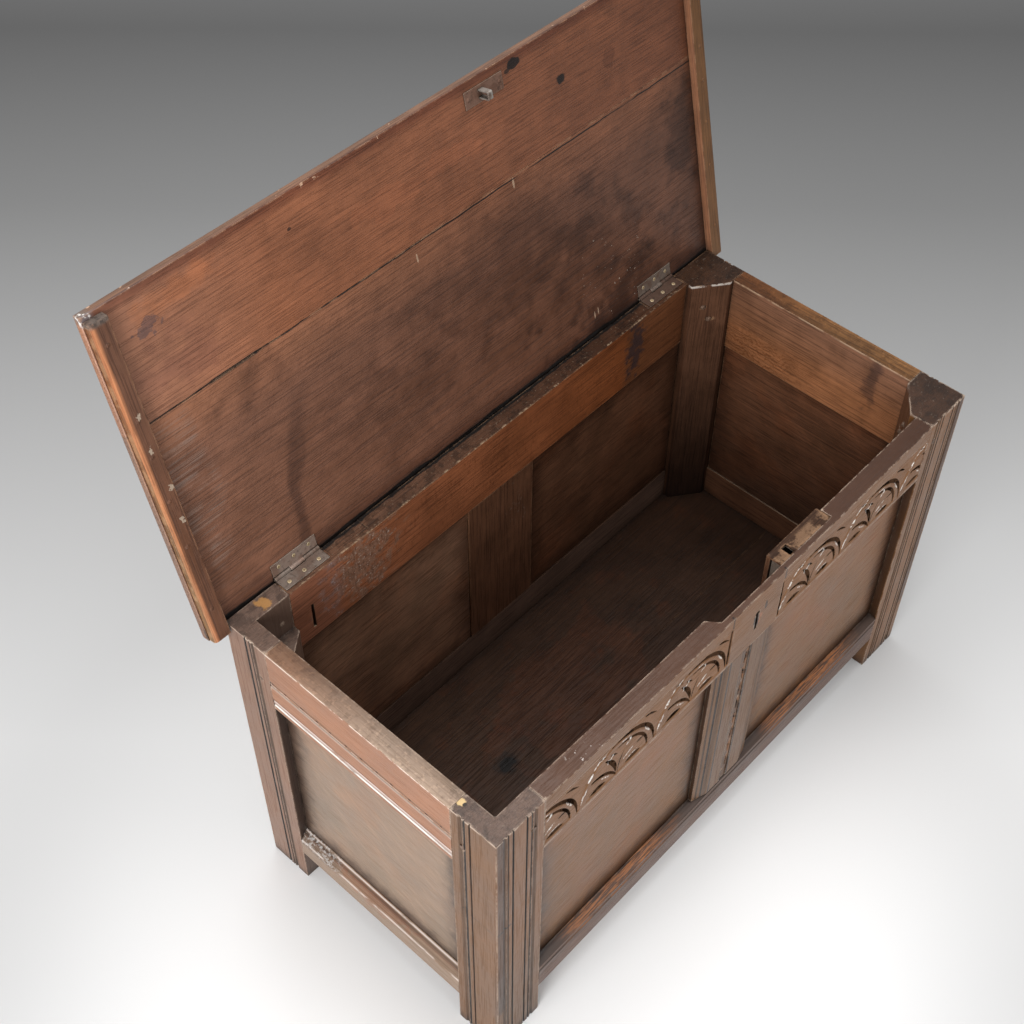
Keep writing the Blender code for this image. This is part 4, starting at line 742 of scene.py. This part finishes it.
def paint_lid_front(oak):
    """Stains, knots and nicks of the lid's front board, seen below, with painted light falling off to the
    right and a painted highlight on the corner.
    """
    under = oak.band(oak.w, *LID_UNDER)
    # Painted light: lighter at the left, darker to the right
    oak.fade(oak.u, -0.47, 0.45, (1.34, 1.36, 1.42), (0.76, 0.74, 0.78), under)
    for centre, reach, strength in LID_KNOTS:
        oak.paint((under, oak.spot("uv", centre, reach), strength), (20, 15, 13))
    oak.tint((under, oak.spot("uv", (0.337, 0.399), (0.014, 0.018)), 0.5), (0.5, 0.46, 0.46))
    warm = oak.spot("uv", (-0.4034, 0.451), (0.05, 0.022), 0.8, 30, 0.5)
    oak.tint((under, warm, 0.6), (1.35, 1.15, 0.9))
    soot = oak.spot("uv", (-0.456, 0.429), (0.016, 0.012), 1.2, 90)
    oak.paint((under, soot, 0.5), (64, 58, 60))
    light = oak.spot("uv", (-0.02, 0.4), (0.1, 0.016), 1, 25)
    oak.tint((under, light, 0.4), (1.35, 1.25, 1.2))
    oak.tint((under, oak.band(oak.v, 0.466, 0.482)), (0.62, 0.52, 0.5))
    oak.paint((oak.band(oak.v, 0.478, 0.482), oak.patches(70, 0.68, 0.72), 0.9), (220, 180, 150))
    oak.tint((under, oak.band(oak.u, 0.44, 0.5), 0.6), (0.55, 0.52, 0.52))
    corner = oak.times(oak.band(oak.u, -0.508, -0.52), oak.band(oak.v, 0.47, 0.48))
    oak.paint((corner, 0.7), (120, 108, 100))
    # Painted highlight on the grey front corner
    oak.highlight_and_mark((corner, oak.patches(120, 0.56, 0.64), 0.9))
    oak.tint((under, oak.spot("uv", (-0.44, 0.37), (0.05, 0.03), *CLOUDY), 0.5), (0.62, 0.58, 0.66))
    oak.fade(oak.u, -0.28, -0.5, (1, 1, 1), (1.1, 1.34, 1.7), under)
    paint_joint(oak)


def paint_lid_rear(oak):
    """Stains of the lid's rear board, seen below, with painted light falling off to the right and painted
    shade at the hinge edge.
    """
    under = oak.band(oak.w, *LID_UNDER)
    # Painted light: lighter at the left, darker to the right
    oak.fade(oak.u, -0.47, 0.1, (1.42, 1.52, 1.64), (0.86, 0.84, 0.84), under)
    oak.fade(oak.v, 0.24, 0.32, (1, 1, 1), (1.5, 1.4, 1.22), under)
    slant = oak.vector(oak.plus(oak.u, oak.v), oak.minus(oak.u, oak.v), oak.w)
    hatch = oak.stretched(slant, (30, 330, 100), 2)
    oak.tint((under, oak.band(hatch, 0.54, 0.66), 0.28), (0.5, 0.45, 0.42))
    drift = oak.wave(14, 0.06, 4)
    lean = oak.plus(oak.plus(oak.u, drift), oak.times(oak.v, -0.28))
    run = oak.times(oak.line(lean, -0.362, 0.004, 0.015), oak.band(oak.v, 0.3, 0.12),
                    oak.band(oak.v, -0.01, 0.03))
    oak.tint((under, run, 0.6), (0.3, 0.31, 0.36))
    for centre, reach, strength in LID_STAINS:
        oak.tint((under, oak.spot("uv", centre, reach, *CLOUDY), strength), (0.36, 0.34, 0.34))
    oak.tint((under, oak.band(oak.u, 0.44, 0.495), 0.75), (0.46, 0.48, 0.52))
    # Painted shade darkening the hinge edge, and a painted shadow of the gap there
    oak.tint((under, oak.band(oak.v, 0.034, 0)), (0.55, 0.5, 0.48))
    oak.paint((under, oak.band(oak.plus(oak.v, oak.times(drift, 0.25)), 0.004, 0.0005)), (12, 9, 8))
    bare = oak.spot("uv", (-0.475, 0.22), (0.03, 0.09), 1.2, 24, 0.7)
    oak.paint((under, bare, oak.band(oak.streak, 0.46, 0.62), 0.45), (150, 134, 124))
    specks = oak.patches(300, 0.74, 0.78, 1)
    oak.paint((under, specks, oak.spot("uv", (0.29, 0.08), (0.08, 0.07))), (210, 196, 180))
    for centre in LID_NICKS:
        oak.paint((under, oak.spot("uv", centre, (0.0016, 0.008)), 0.55), (206, 178, 150))
    paint_joint(oak)


def paint_left_cleat(oak):
    """Rubbed edges, painted light and shade across its faces, grey end and nicks of the lid's left cleat."""
    oak.fade(oak.v, 0.12, 0.36, (1, 1.18, 1.35), (1, 0.84, 0.76), oak.facing("-X"))
    # Painted light and shade: lighter at the outer edge, darker inward
    turned = oak.band(oak.looks[0], -0.97, -0.8)
    oak.fade(oak.u, -0.524, -0.5195, (1.5, 1.36, 1.16), (0.42, 0.41, 0.44), turned)
    edge = oak.band(oak.u, -0.5255, -0.529)
    oak.highlight_and_mark((edge, oak.patches(50, 0.46, 0.6, 4), 0.5), (216, 168, 124))
    end = oak.band(oak.v, 0.47, 0.476)
    oak.highlight_and_mark((end, 0.7), (118, 108, 100))
    oak.highlight_and_mark((end, oak.patches(130, 0.48, 0.6, 4, 0.7), 0.7), (58, 50, 46))
    for centre in CLEAT_NICKS:
        oak.highlight_and_mark((oak.spot("uv", centre, (0.0028, 0.0045), 1.2, 260), 0.6), (206, 188, 166))


def paint_right_cleat(oak):
    """The rubbed outer edge of the lid's right cleat."""
    edge = oak.band(oak.u, 0.527, 0.529)
    oak.highlight_and_mark((edge, oak.patches(50, 0.48, 0.6, 4), 0.4), (206, 158, 120))


PAINTERS = {
    "front_top_rail": paint_front_rail,
    "front_bottom_rail": paint_ledge,
    "front_muntin": paint_muntin,
    "rear_top_rail": paint_rear_rail,
    "rear_muntin": paint_rear_muntin,
    "left_top_rail": paint_end_rail,
    "left_bottom_rail": paint_end_ledge,
    "right_top_rail": paint_right_rail,
    "right_bottom_rail": paint_end_ledge,
    "front_floor_board": paint_floor_board,
    "rear_floor_board": paint_floor_board,
    "lid_front_board": paint_lid_front,
    "lid_rear_board": paint_lid_rear,
    "lid_left_cleat": paint_left_cleat,
    "lid_right_cleat": paint_right_cleat,
}


def paint_piece(oak, name):
    """What only this piece shows."""
    if "stile" in name:
        paint_stile(oak, name)
    elif "panel" in name:
        paint_panel(oak, name)
    elif name in PAINTERS:
        PAINTERS[name](oak)


def grain_of(name):
    """The axis along a piece's grain; lid_x and lid_y are taken with the lid shut."""
    if name.startswith("lid"):
        return "lid_y" if "cleat" in name else "lid_x"
    if "stile" in name or "muntin" in name:
        return "z"
    return "y" if name.startswith(("left", "right")) else "x"


def oak_piece(name, shift):
    """The oak of one piece of the lid, the inside or the outside."""
    floor = "floor" in name
    kind = "out"
    if name.startswith("lid"):
        kind = "lid"
    elif floor or name == "lock_cover" or name.startswith(("rear", "right")) and name != "rear_left_stile":
        kind = "in"
    figure = "panel" if kind == "out" and "panel" in name else kind
    oak = Oak("oak_" + name, grain_of(name), TONES[name], shift)
    oak.grain(*FIGURES[figure])
    paint_piece(oak, name)
    gloss, wear, dirt_and_shade, bare, shine = LOOKS[kind]
    if floor or "bottom_rail" in name:
        wear = LOW_WEAR
    return oak.finish(gloss, wear, dirt_and_shade, bare, shine, RIDGES[figure])


def iron(name, base, rust, bright, gloss):
    """Old forged iron: dark skin, brown rust and bright rubbed edges."""
    shade = Shade(name)
    skin = shade.noise(shade.place, 160, 4, 0.65)
    patch = shade.noise(shade.place, 45, 3, 0.6)
    edge = shade.band(shade.hollow(0.0016, True), 0.66, 0.3)
    close = shade.band(shade.hollow(0.012), 0.8, 0.25)
    shade.colour = srgb(*base)
    shade.paint((shade.band(patch, 0.44, 0.62),), rust)
    shade.paint((shade.band(skin, 0.52, 0.7), 0.6), (44, 34, 28))
    shade.paint((edge, 0.7), bright)
    # Dirt and painted shade where the iron is closed in
    shade.paint((close, 0.8), (26, 20, 17))
    shade.give("Base Color", shade.colour)
    shade.give("Metallic", 0.35)
    shade.give("Roughness", shade.plus(gloss - 0.1, shade.times(skin, 0.3)))
    shade.bump(skin, 0.5, 0.0008)
    return shade.material


def dress_nodes():
    woods = {name: oak_piece(name, GRAIN_SHIFT * number) for number, name in enumerate(TONES, 1)}
    irons = {name: iron(name, *looks) for name, looks in IRONS.items()}
    oak = Oak("oak_peg", "x", {"": PEG_OAK}, 0.3)
    oak.grain(*FIGURES["peg"])
    peg = oak.finish(0.5, 0, 0.3, LOOKS["out"][3])
    for name, node in NODES.items():
        material = irons[METALS.get(name, "old_iron")]
        if name in woods:
            material = woods[name]
        elif "peg" in name:
            material = peg
        elif "screw" in name:
            material = irons["screw_metal"]
        node.data.materials.clear()
        node.data.materials.append(material)


def add_object(name, data):
    made = bpy.data.objects.new(name, data)
    SCENE.collection.objects.link(made)
    return made


def add_shape(name, shape):
    mesh = bpy.data.meshes.new(name)
    shape.to_mesh(mesh)
    shape.free()
    return add_object(name, mesh)


# Corners of each side of a box, counted along x, then y, then z
BOX_FACES = ((0, 2, 3, 1), (4, 5, 7, 6), (0, 1, 5, 4), (2, 6, 7, 3), (0, 4, 6, 2), (1, 3, 7, 5))
# How far a cutter stands out, the gap behind a slab, its grid and the weld of CAD points
PROUD = 0.002
SLAB_GAP = 0.0002
SLAB_STEP = 0.001
WELD_REACH = 0.00002


def cut_pockets(node, pockets):
    """Cuts pockets, each with its x range, z range and depth, into the look of a CAD node's front."""
    shape = bmesh.new()
    for x_range, z_range, depth in pockets:
        y_range = (FRONT_Y - PROUD, FRONT_Y + depth)
        corners = [shape.verts.new((x, y, z)) for z in z_range for y in y_range for x in x_range]
        for face in BOX_FACES:
            shape.faces.new([corners[index] for index in face])
    cutter = add_shape("pocket_" + node, shape)
    cutter.hide_render = True
    cutter.hide_viewport = True
    cutter.display_type = "WIRE"
    weld = NODES[node].modifiers.new("weld", "WELD")
    weld.merge_threshold = WELD_REACH
    cut = NODES[node].modifiers.new("pocket", "BOOLEAN")
    cut.operation = "DIFFERENCE"
    cut.solver = "EXACT"
    cut.object = cutter


def add_relief(name, x_range, z_range, pocket_depth, depth_of, material):
    """A slab let into the front, its face cut to the given depths, with dirt and painted shade, and painted
    highlights, on its points.
    """
    grid_x, grid_z = np.meshgrid(*(np.linspace(low, high, round((high - low) / SLAB_STEP) + 1)
                                   for low, high in (x_range, z_range)))
    depth, dirt_and_shade, pale = depth_of(grid_x, grid_z)
    rows, columns = grid_x.shape
    points = np.stack([grid_x, FRONT_Y + depth, grid_z], -1).reshape(-1, 3)
    index = np.arange(rows * columns).reshape(rows, columns)
    faces = np.stack([index[:-1, :-1], index[:-1, 1:], index[1:, 1:], index[1:, :-1]], -1)
    faces = faces.reshape(-1, 4).tolist()
    rim = list(index[0, :]) + list(index[1:, -1]) + list(index[-1, -2::-1]) + list(index[-2:0:-1, 0])
    first = len(points)
    count = len(rim)
    skirt = points[rim].copy()
    skirt[:, 1] = FRONT_Y + pocket_depth - SLAB_GAP
    points = np.concatenate([points, skirt])
    for place in range(count):
        following = (place + 1) % count
        faces.append([rim[following], rim[place], first + place, first + following])
    faces.append([first + place for place in range(count - 1, -1, -1)])
    mesh = bpy.data.meshes.new(name)
    mesh.from_pydata(points.tolist(), [], faces)
    for key, values in (("dirt_and_shade", dirt_and_shade), ("pale", pale)):
        layer = mesh.attributes.new(key, "FLOAT", "POINT")
        layer.data.foreach_set("value", np.concatenate([values.ravel(), np.zeros(count)]).astype(np.float32))
    mesh.polygons.foreach_set("use_smooth", np.arange(len(mesh.polygons)) < (rows - 1) * (columns - 1))
    mesh.materials.append(material)
    mesh.update()
    made = add_object(name, mesh)
    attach(made, "carcass")


def smooth(value, low, high):
    """0 at low, 1 at high, smooth between; low may be the larger."""
    share = np.clip((value - low) / (high - low), 0, 1)
    return share * share * (3 - 2 * share)


def inside(value, low, high, soft):
    """1 between low and high, falling to 0 at both over soft."""
    return np.minimum(smooth(value, low, low + soft), smooth(value, high, high - soft))


def stroke(u, h, points, half, taper=0.7):
    """Closeness, 0 to 1, to a polyline stroke of that half width, thinner at its ends."""
    best = np.zeros_like(u)
    total = len(points) - 1
    for number, ((ua, ha), (ub, hb)) in enumerate(zip(points, points[1:])):
        run_u, run_h = ub - ua, hb - ha
        share = np.clip(((u - ua) * run_u + (h - ha) * run_h) / (run_u ** 2 + run_h ** 2), 0, 1)
        far = np.hypot(u - ua - share * run_u, h - ha - share * run_h)
        along = (number + share) / total
        width = half * (1 - taper * (2 * along - 1) ** 2)
        best = np.maximum(best, np.clip(1 - far / width, 0, 1))
    return best


def arc(centre, radius, start, end, steps=18):
    """Points of an arc about a centre at the band's foot, from one angle to another."""
    angles = np.radians(np.linspace(start, end, steps))
    return [(centre + radius * math.cos(angle), radius * math.sin(angle)) for angle in angles]


# Carved bands: x range and middles of the lunettes; then z range, foot, pocket depth and soft edge
BANDS = {
    "carved_band_left": ((-0.4138, -0.044), (-0.426, -0.276, -0.1255)),
    "carved_band_right": ((0.063, 0.4138), (0.1385, 0.2865, 0.4345)),
}
CARVE_Z = (0.481, 0.565)
CARVE_FOOT = 0.4856
CARVE_BACK = 0.0044
CARVE_EDGE = 0.002
# In millimetres: a lunette's strap, by its radii, and the way to the next lunette
STRAP_INNER = 60
STRAP_OUTER = 73.5
NEXT = 75
# Depth of the ground between the straps, and of its tool marks
GROUND = 0.9
GROUND_GRAIN = 0.12
# Cuts of a lunette, from its middle and foot: points, half width, depth, dirt and painted shade, and taper
CUTS = (
    (arc(0, STRAP_OUTER, 0, 100), 3.4, 3.2, 1, 0.7),
    (arc(0, STRAP_OUTER, 94, 180), 1.6, 1.2, 0.12, 0.5),
    (arc(0, STRAP_INNER, 2, 96), 2.6, 2.8, 0.95, 0.6),
    (arc(0, STRAP_INNER, 100, 178), 1.5, 1, 0.1, 0.5),
    (arc(-NEXT, STRAP_OUTER, 4, 47), 3.6, 3, 1, 0.8),
    (arc(NEXT, STRAP_OUTER, 180, 148), 1.6, 1.4, 0.5, 0.7),
    (((-52, 31), (-43, 31), (-33, 29), (-24, 24.5), (-15, 17), (-8, 9), (-2, 0)), 2.7, 2.8, 1, 0.6),
    (((-52, 4), (-37, 6), (-22, 4)), 4.2, 3, 0.8, 0.85),
    (((17, 3.5), (32, 5.5), (47, 3.5)), 4.4, 3.2, 0.8, 0.85),
    (((37, 27), (45, 28.5), (54, 26)), 2, 1.6, 0.55, 0.8),
    (((50, 71), (62, 67), (75, 57)), 2, 1.8, 0.75, 0.8),
    (((-16, 57), (-9, 53), (-1, 46)), 2, 1.6, 0.65, 0.8),
    (((-40, 71), (-31, 69), (-24, 64)), 1.6, 1.4, 0.5, 0.8),
)
# The groove beside the plain block, in the same terms
BLOCK_CUT = (((0, 0), (0, 74)), 2, 2.2, 0.9, 0.3)
# Painted highlights of a lunette: points and half width
HIGHLIGHTS = (
    (((17, 47), (28, 55)), 3), (((13, 18), (30, 27)), 2.6), (((-46, 60), (-36, 68)), 3.2),
    (((-33, 66), (-22, 72)), 2.8), (((52, 46), (62, 30)), 1.8), (((-64, 20), (-60, 32)), 1.8),
    (((6, 66), (20, 64)), 1.6), (((-30, 20), (-16, 10)), 1.8), (((20, 10), (40, 12)), 1.6),
    (((-70, 8), (-66, 24)), 2.4), (((-57, 44), (-49, 54)), 2.8), (((-20, 42), (-8, 54)), 2.2),
)


def carve(x_range, middles):
    """What gives the depth, the dirt and painted shade, and the painted highlights of one carved band at any
    points.
    """
    def depth_of(x, z):
        h = (z - CARVE_FOOT) * MM
        depth, dirt_and_shade, pale, on_strap = (np.zeros_like(x) for _ in range(4))
        cuts = [((x - groove) * MM, BLOCK_CUT) for groove in BLOCK_GROOVES]
        for middle in middles:
            u = (x - middle) * MM
            cuts += [(u, cut) for cut in CUTS]
            for points, half in HIGHLIGHTS:
                pale = np.maximum(pale, smooth(stroke(u, h, points, half, 0.5), 0.1, 0.6))
            radius = np.hypot(u, h)
            strap = smooth(radius, STRAP_INNER - 2, STRAP_INNER + 1)
            strap = strap * smooth(radius, STRAP_OUTER + 2, STRAP_OUTER - 1)
            on_strap = np.maximum(on_strap, strap)
        for u, (points, half, deep, dark, taper) in cuts:
            close = stroke(u, h, points, half * 1.35, taper)
            depth = np.maximum(depth, deep * close ** 0.8)
            dirt_and_shade = np.maximum(dirt_and_shade, dark * smooth(close, 0.05, 0.4))
        within = smooth(h, -1.5, 1.5) * smooth(h, 76, 73)
        ground = (1 - on_strap) * within
        grain = np.sin(x * 2400 + np.sin(z * 900) * 2) * np.sin(z * 2100 + x * 500)
        depth = np.maximum(depth, GROUND * ground + GROUND_GRAIN * grain * ground)
        edge = np.minimum(inside(x, *x_range, CARVE_EDGE), inside(z, *CARVE_Z, CARVE_EDGE))
        return depth * edge / MM, dirt_and_shade * edge, pale * within * edge
    return depth_of


def add_carving():
    cut_pockets("front_top_rail", [(x_range, CARVE_Z, CARVE_BACK) for x_range, _ in BANDS.values()])
    oak = Oak("oak_carving", "x", TONES["front_top_rail"], 3.1)
    oak.grain(*FIGURES["out"])
    # Dark cuts of dirt and painted shade, and painted highlights on the carving
    dirt_and_shade_share = oak.band(oak.attribute("dirt_and_shade"), 0.15, 0.6)
    oak.paint((dirt_and_shade_share, 0.96), (20, 16, 15))
    oak.highlight_and_mark((oak.attribute("pale"), oak.patches(260, 0.36, 0.58), 0.95))
    material = oak.finish(0.42, 0.12, 0.35, (214, 160, 122))
    oak.matt(dirt_and_shade_share)
    for name, (x_range, middles) in BANDS.items():
        add_relief(name, x_range, CARVE_Z, CARVE_BACK, carve(x_range, middles), material)


# Chip-cut channel of the front muntin: ranges, depth of its bed, pocket depth, soft edge and chips
CHANNEL_X = (-0.0073, 0.0073)
CHANNEL_Z = (0.162, 0.468)
CHANNEL_DEPTH = 0.0015
CHANNEL_BACK = 0.006
CHANNEL_EDGE = 0.004
CHIP_COUNT = 8
CHIP_PITCH = 0.038


def chip(x, z):
    """The depth, the dirt and painted shade, and the painted highlights of the chips along the channel."""
    u = x * MM
    bed = CHANNEL_DEPTH * MM
    depth = np.full_like(x, bed)
    dirt_and_shade = np.zeros_like(x)
    pale = np.zeros_like(x)
    for number in range(CHIP_COUNT):
        h = (z - CHANNEL_Z[0] - CHIP_PITCH * (number + 0.25)) * MM
        skew = 1.5 * math.sin(number * 2.3)
        notch = stroke(u, h, ((2 + skew, 0), (3.5, 13), (3 - skew, 27)), 3)
        depth = np.maximum(depth, bed + 3.4 * notch ** 0.8)
        dirt_and_shade = np.maximum(dirt_and_shade, smooth(notch, 0.08, 0.4))
        if number % 3:
            pale = np.maximum(pale, smooth(stroke(u, h, ((0, 28), (4, 33)), 1.8), 0.1, 0.6))
    edge = inside(z, *CHANNEL_Z, CHANNEL_EDGE)
    return (bed + (depth - bed) * edge) / MM, dirt_and_shade * edge, pale * edge


def add_chips():
    cut_pockets("front_muntin", [(CHANNEL_X, CHANNEL_Z, CHANNEL_BACK)])
    oak = Oak("oak_chips", "z", {"": CHIP_OAK}, 4.2)
    oak.grain(*FIGURES["out"])
    # Dark notches of dirt and painted shade, and painted highlights on the chips
    dirt_and_shade_share = oak.attribute("dirt_and_shade")
    oak.paint((dirt_and_shade_share, 0.95), (22, 17, 15))
    oak.paint((oak.attribute("pale"), oak.patches(260, 0.4, 0.6), 0.9), (224, 190, 160))
    material = oak.finish(0.4, 0.5, 0.6, (206, 150, 110))
    oak.matt(dirt_and_shade_share)
    add_relief("muntin_chips", CHANNEL_X, CHANNEL_Z, CHANNEL_BACK, chip, material)


def add_camera():
    data = bpy.data.cameras.new("photo_camera")
    data.lens = CAMERA_LENS
    data.sensor_width = CAMERA_SENSOR
    camera = add_object("photo_camera", data)
    turn = Matrix.Rotation(-CAMERA_AZIMUTH, 4, "Z")
    tilt = Matrix.Rotation(math.pi / 2 - CAMERA_DOWN, 4, "X")
    roll = Matrix.Rotation(CAMERA_ROLL, 4, "Z")
    camera.matrix_world = Matrix.Translation(CAMERA_PLACE) @ turn @ tilt @ roll
    SCENE.camera = camera


def add_floor():
    """A pale studio floor with painted light: shaded by its distance from the camera, with a painted pool of
    light.
    """
    shape = bmesh.new()
    corners = ((-1, -1), (1, -1), (1, 1), (-1, 1))
    shape.faces.new([shape.verts.new((x * FLOOR_HALF, y * FLOOR_HALF, -FLOOR_DROP)) for x, y in corners])
    floor = add_shape("floor", shape)
    shade = Shade("pale_floor")
    away = Vector((math.sin(CAMERA_AZIMUTH), math.cos(CAMERA_AZIMUTH), 0))
    start = Vector(CAMERA_PLACE).dot(away)
    run = shade.vector_math("DOT_PRODUCT", shade.place, away, "Value")
    share = shade.math("DIVIDE", shade.minus(run, start), FLOOR_REACH)
    stops = [(metres / FLOOR_REACH, srgb(level, level, level)) for metres, level in FLOOR_GREYS]
    shade.colour = shade.ramp(share, stops)
    ahead, full, outer, level = PAINTED_LIGHT_POOL
    middle = Vector((*CAMERA_PLACE[:2], 0)) + away * ahead
    far = shade.vector_math("DISTANCE", shade.place, middle, "Value")
    # The painted pool of light
    shade.paint((shade.band(far, outer, full),), (level, level, level))
    shade.give("Base Color", shade.colour)
    shade.give("Roughness", 0.9)
    shade.give("Specular IOR Level", 0)
    floor.data.materials.append(shade.material)


def add_light():
    world = bpy.data.worlds.new("studio")
    SCENE.world = world
    world.use_nodes = True
    back = world.node_tree.nodes["Background"]
    back.inputs["Color"].default_value = (1, 1, 1, 1)
    back.inputs["Strength"].default_value = SKY
    for name, (place, aim, width, power) in LAMPS.items():
        data = bpy.data.lights.new(name, "AREA")
        data.size = width
        data.energy = power
        lamp = add_object(name, data)
        lamp.location = place
        lamp.rotation_euler = (Vector(aim) - Vector(place)).to_track_quat("-Z", "Y").to_euler()


dress_nodes()
add_carving()
add_chips()
add_camera()
add_floor()
add_light()
SCENE.view_settings.view_transform = "Standard"
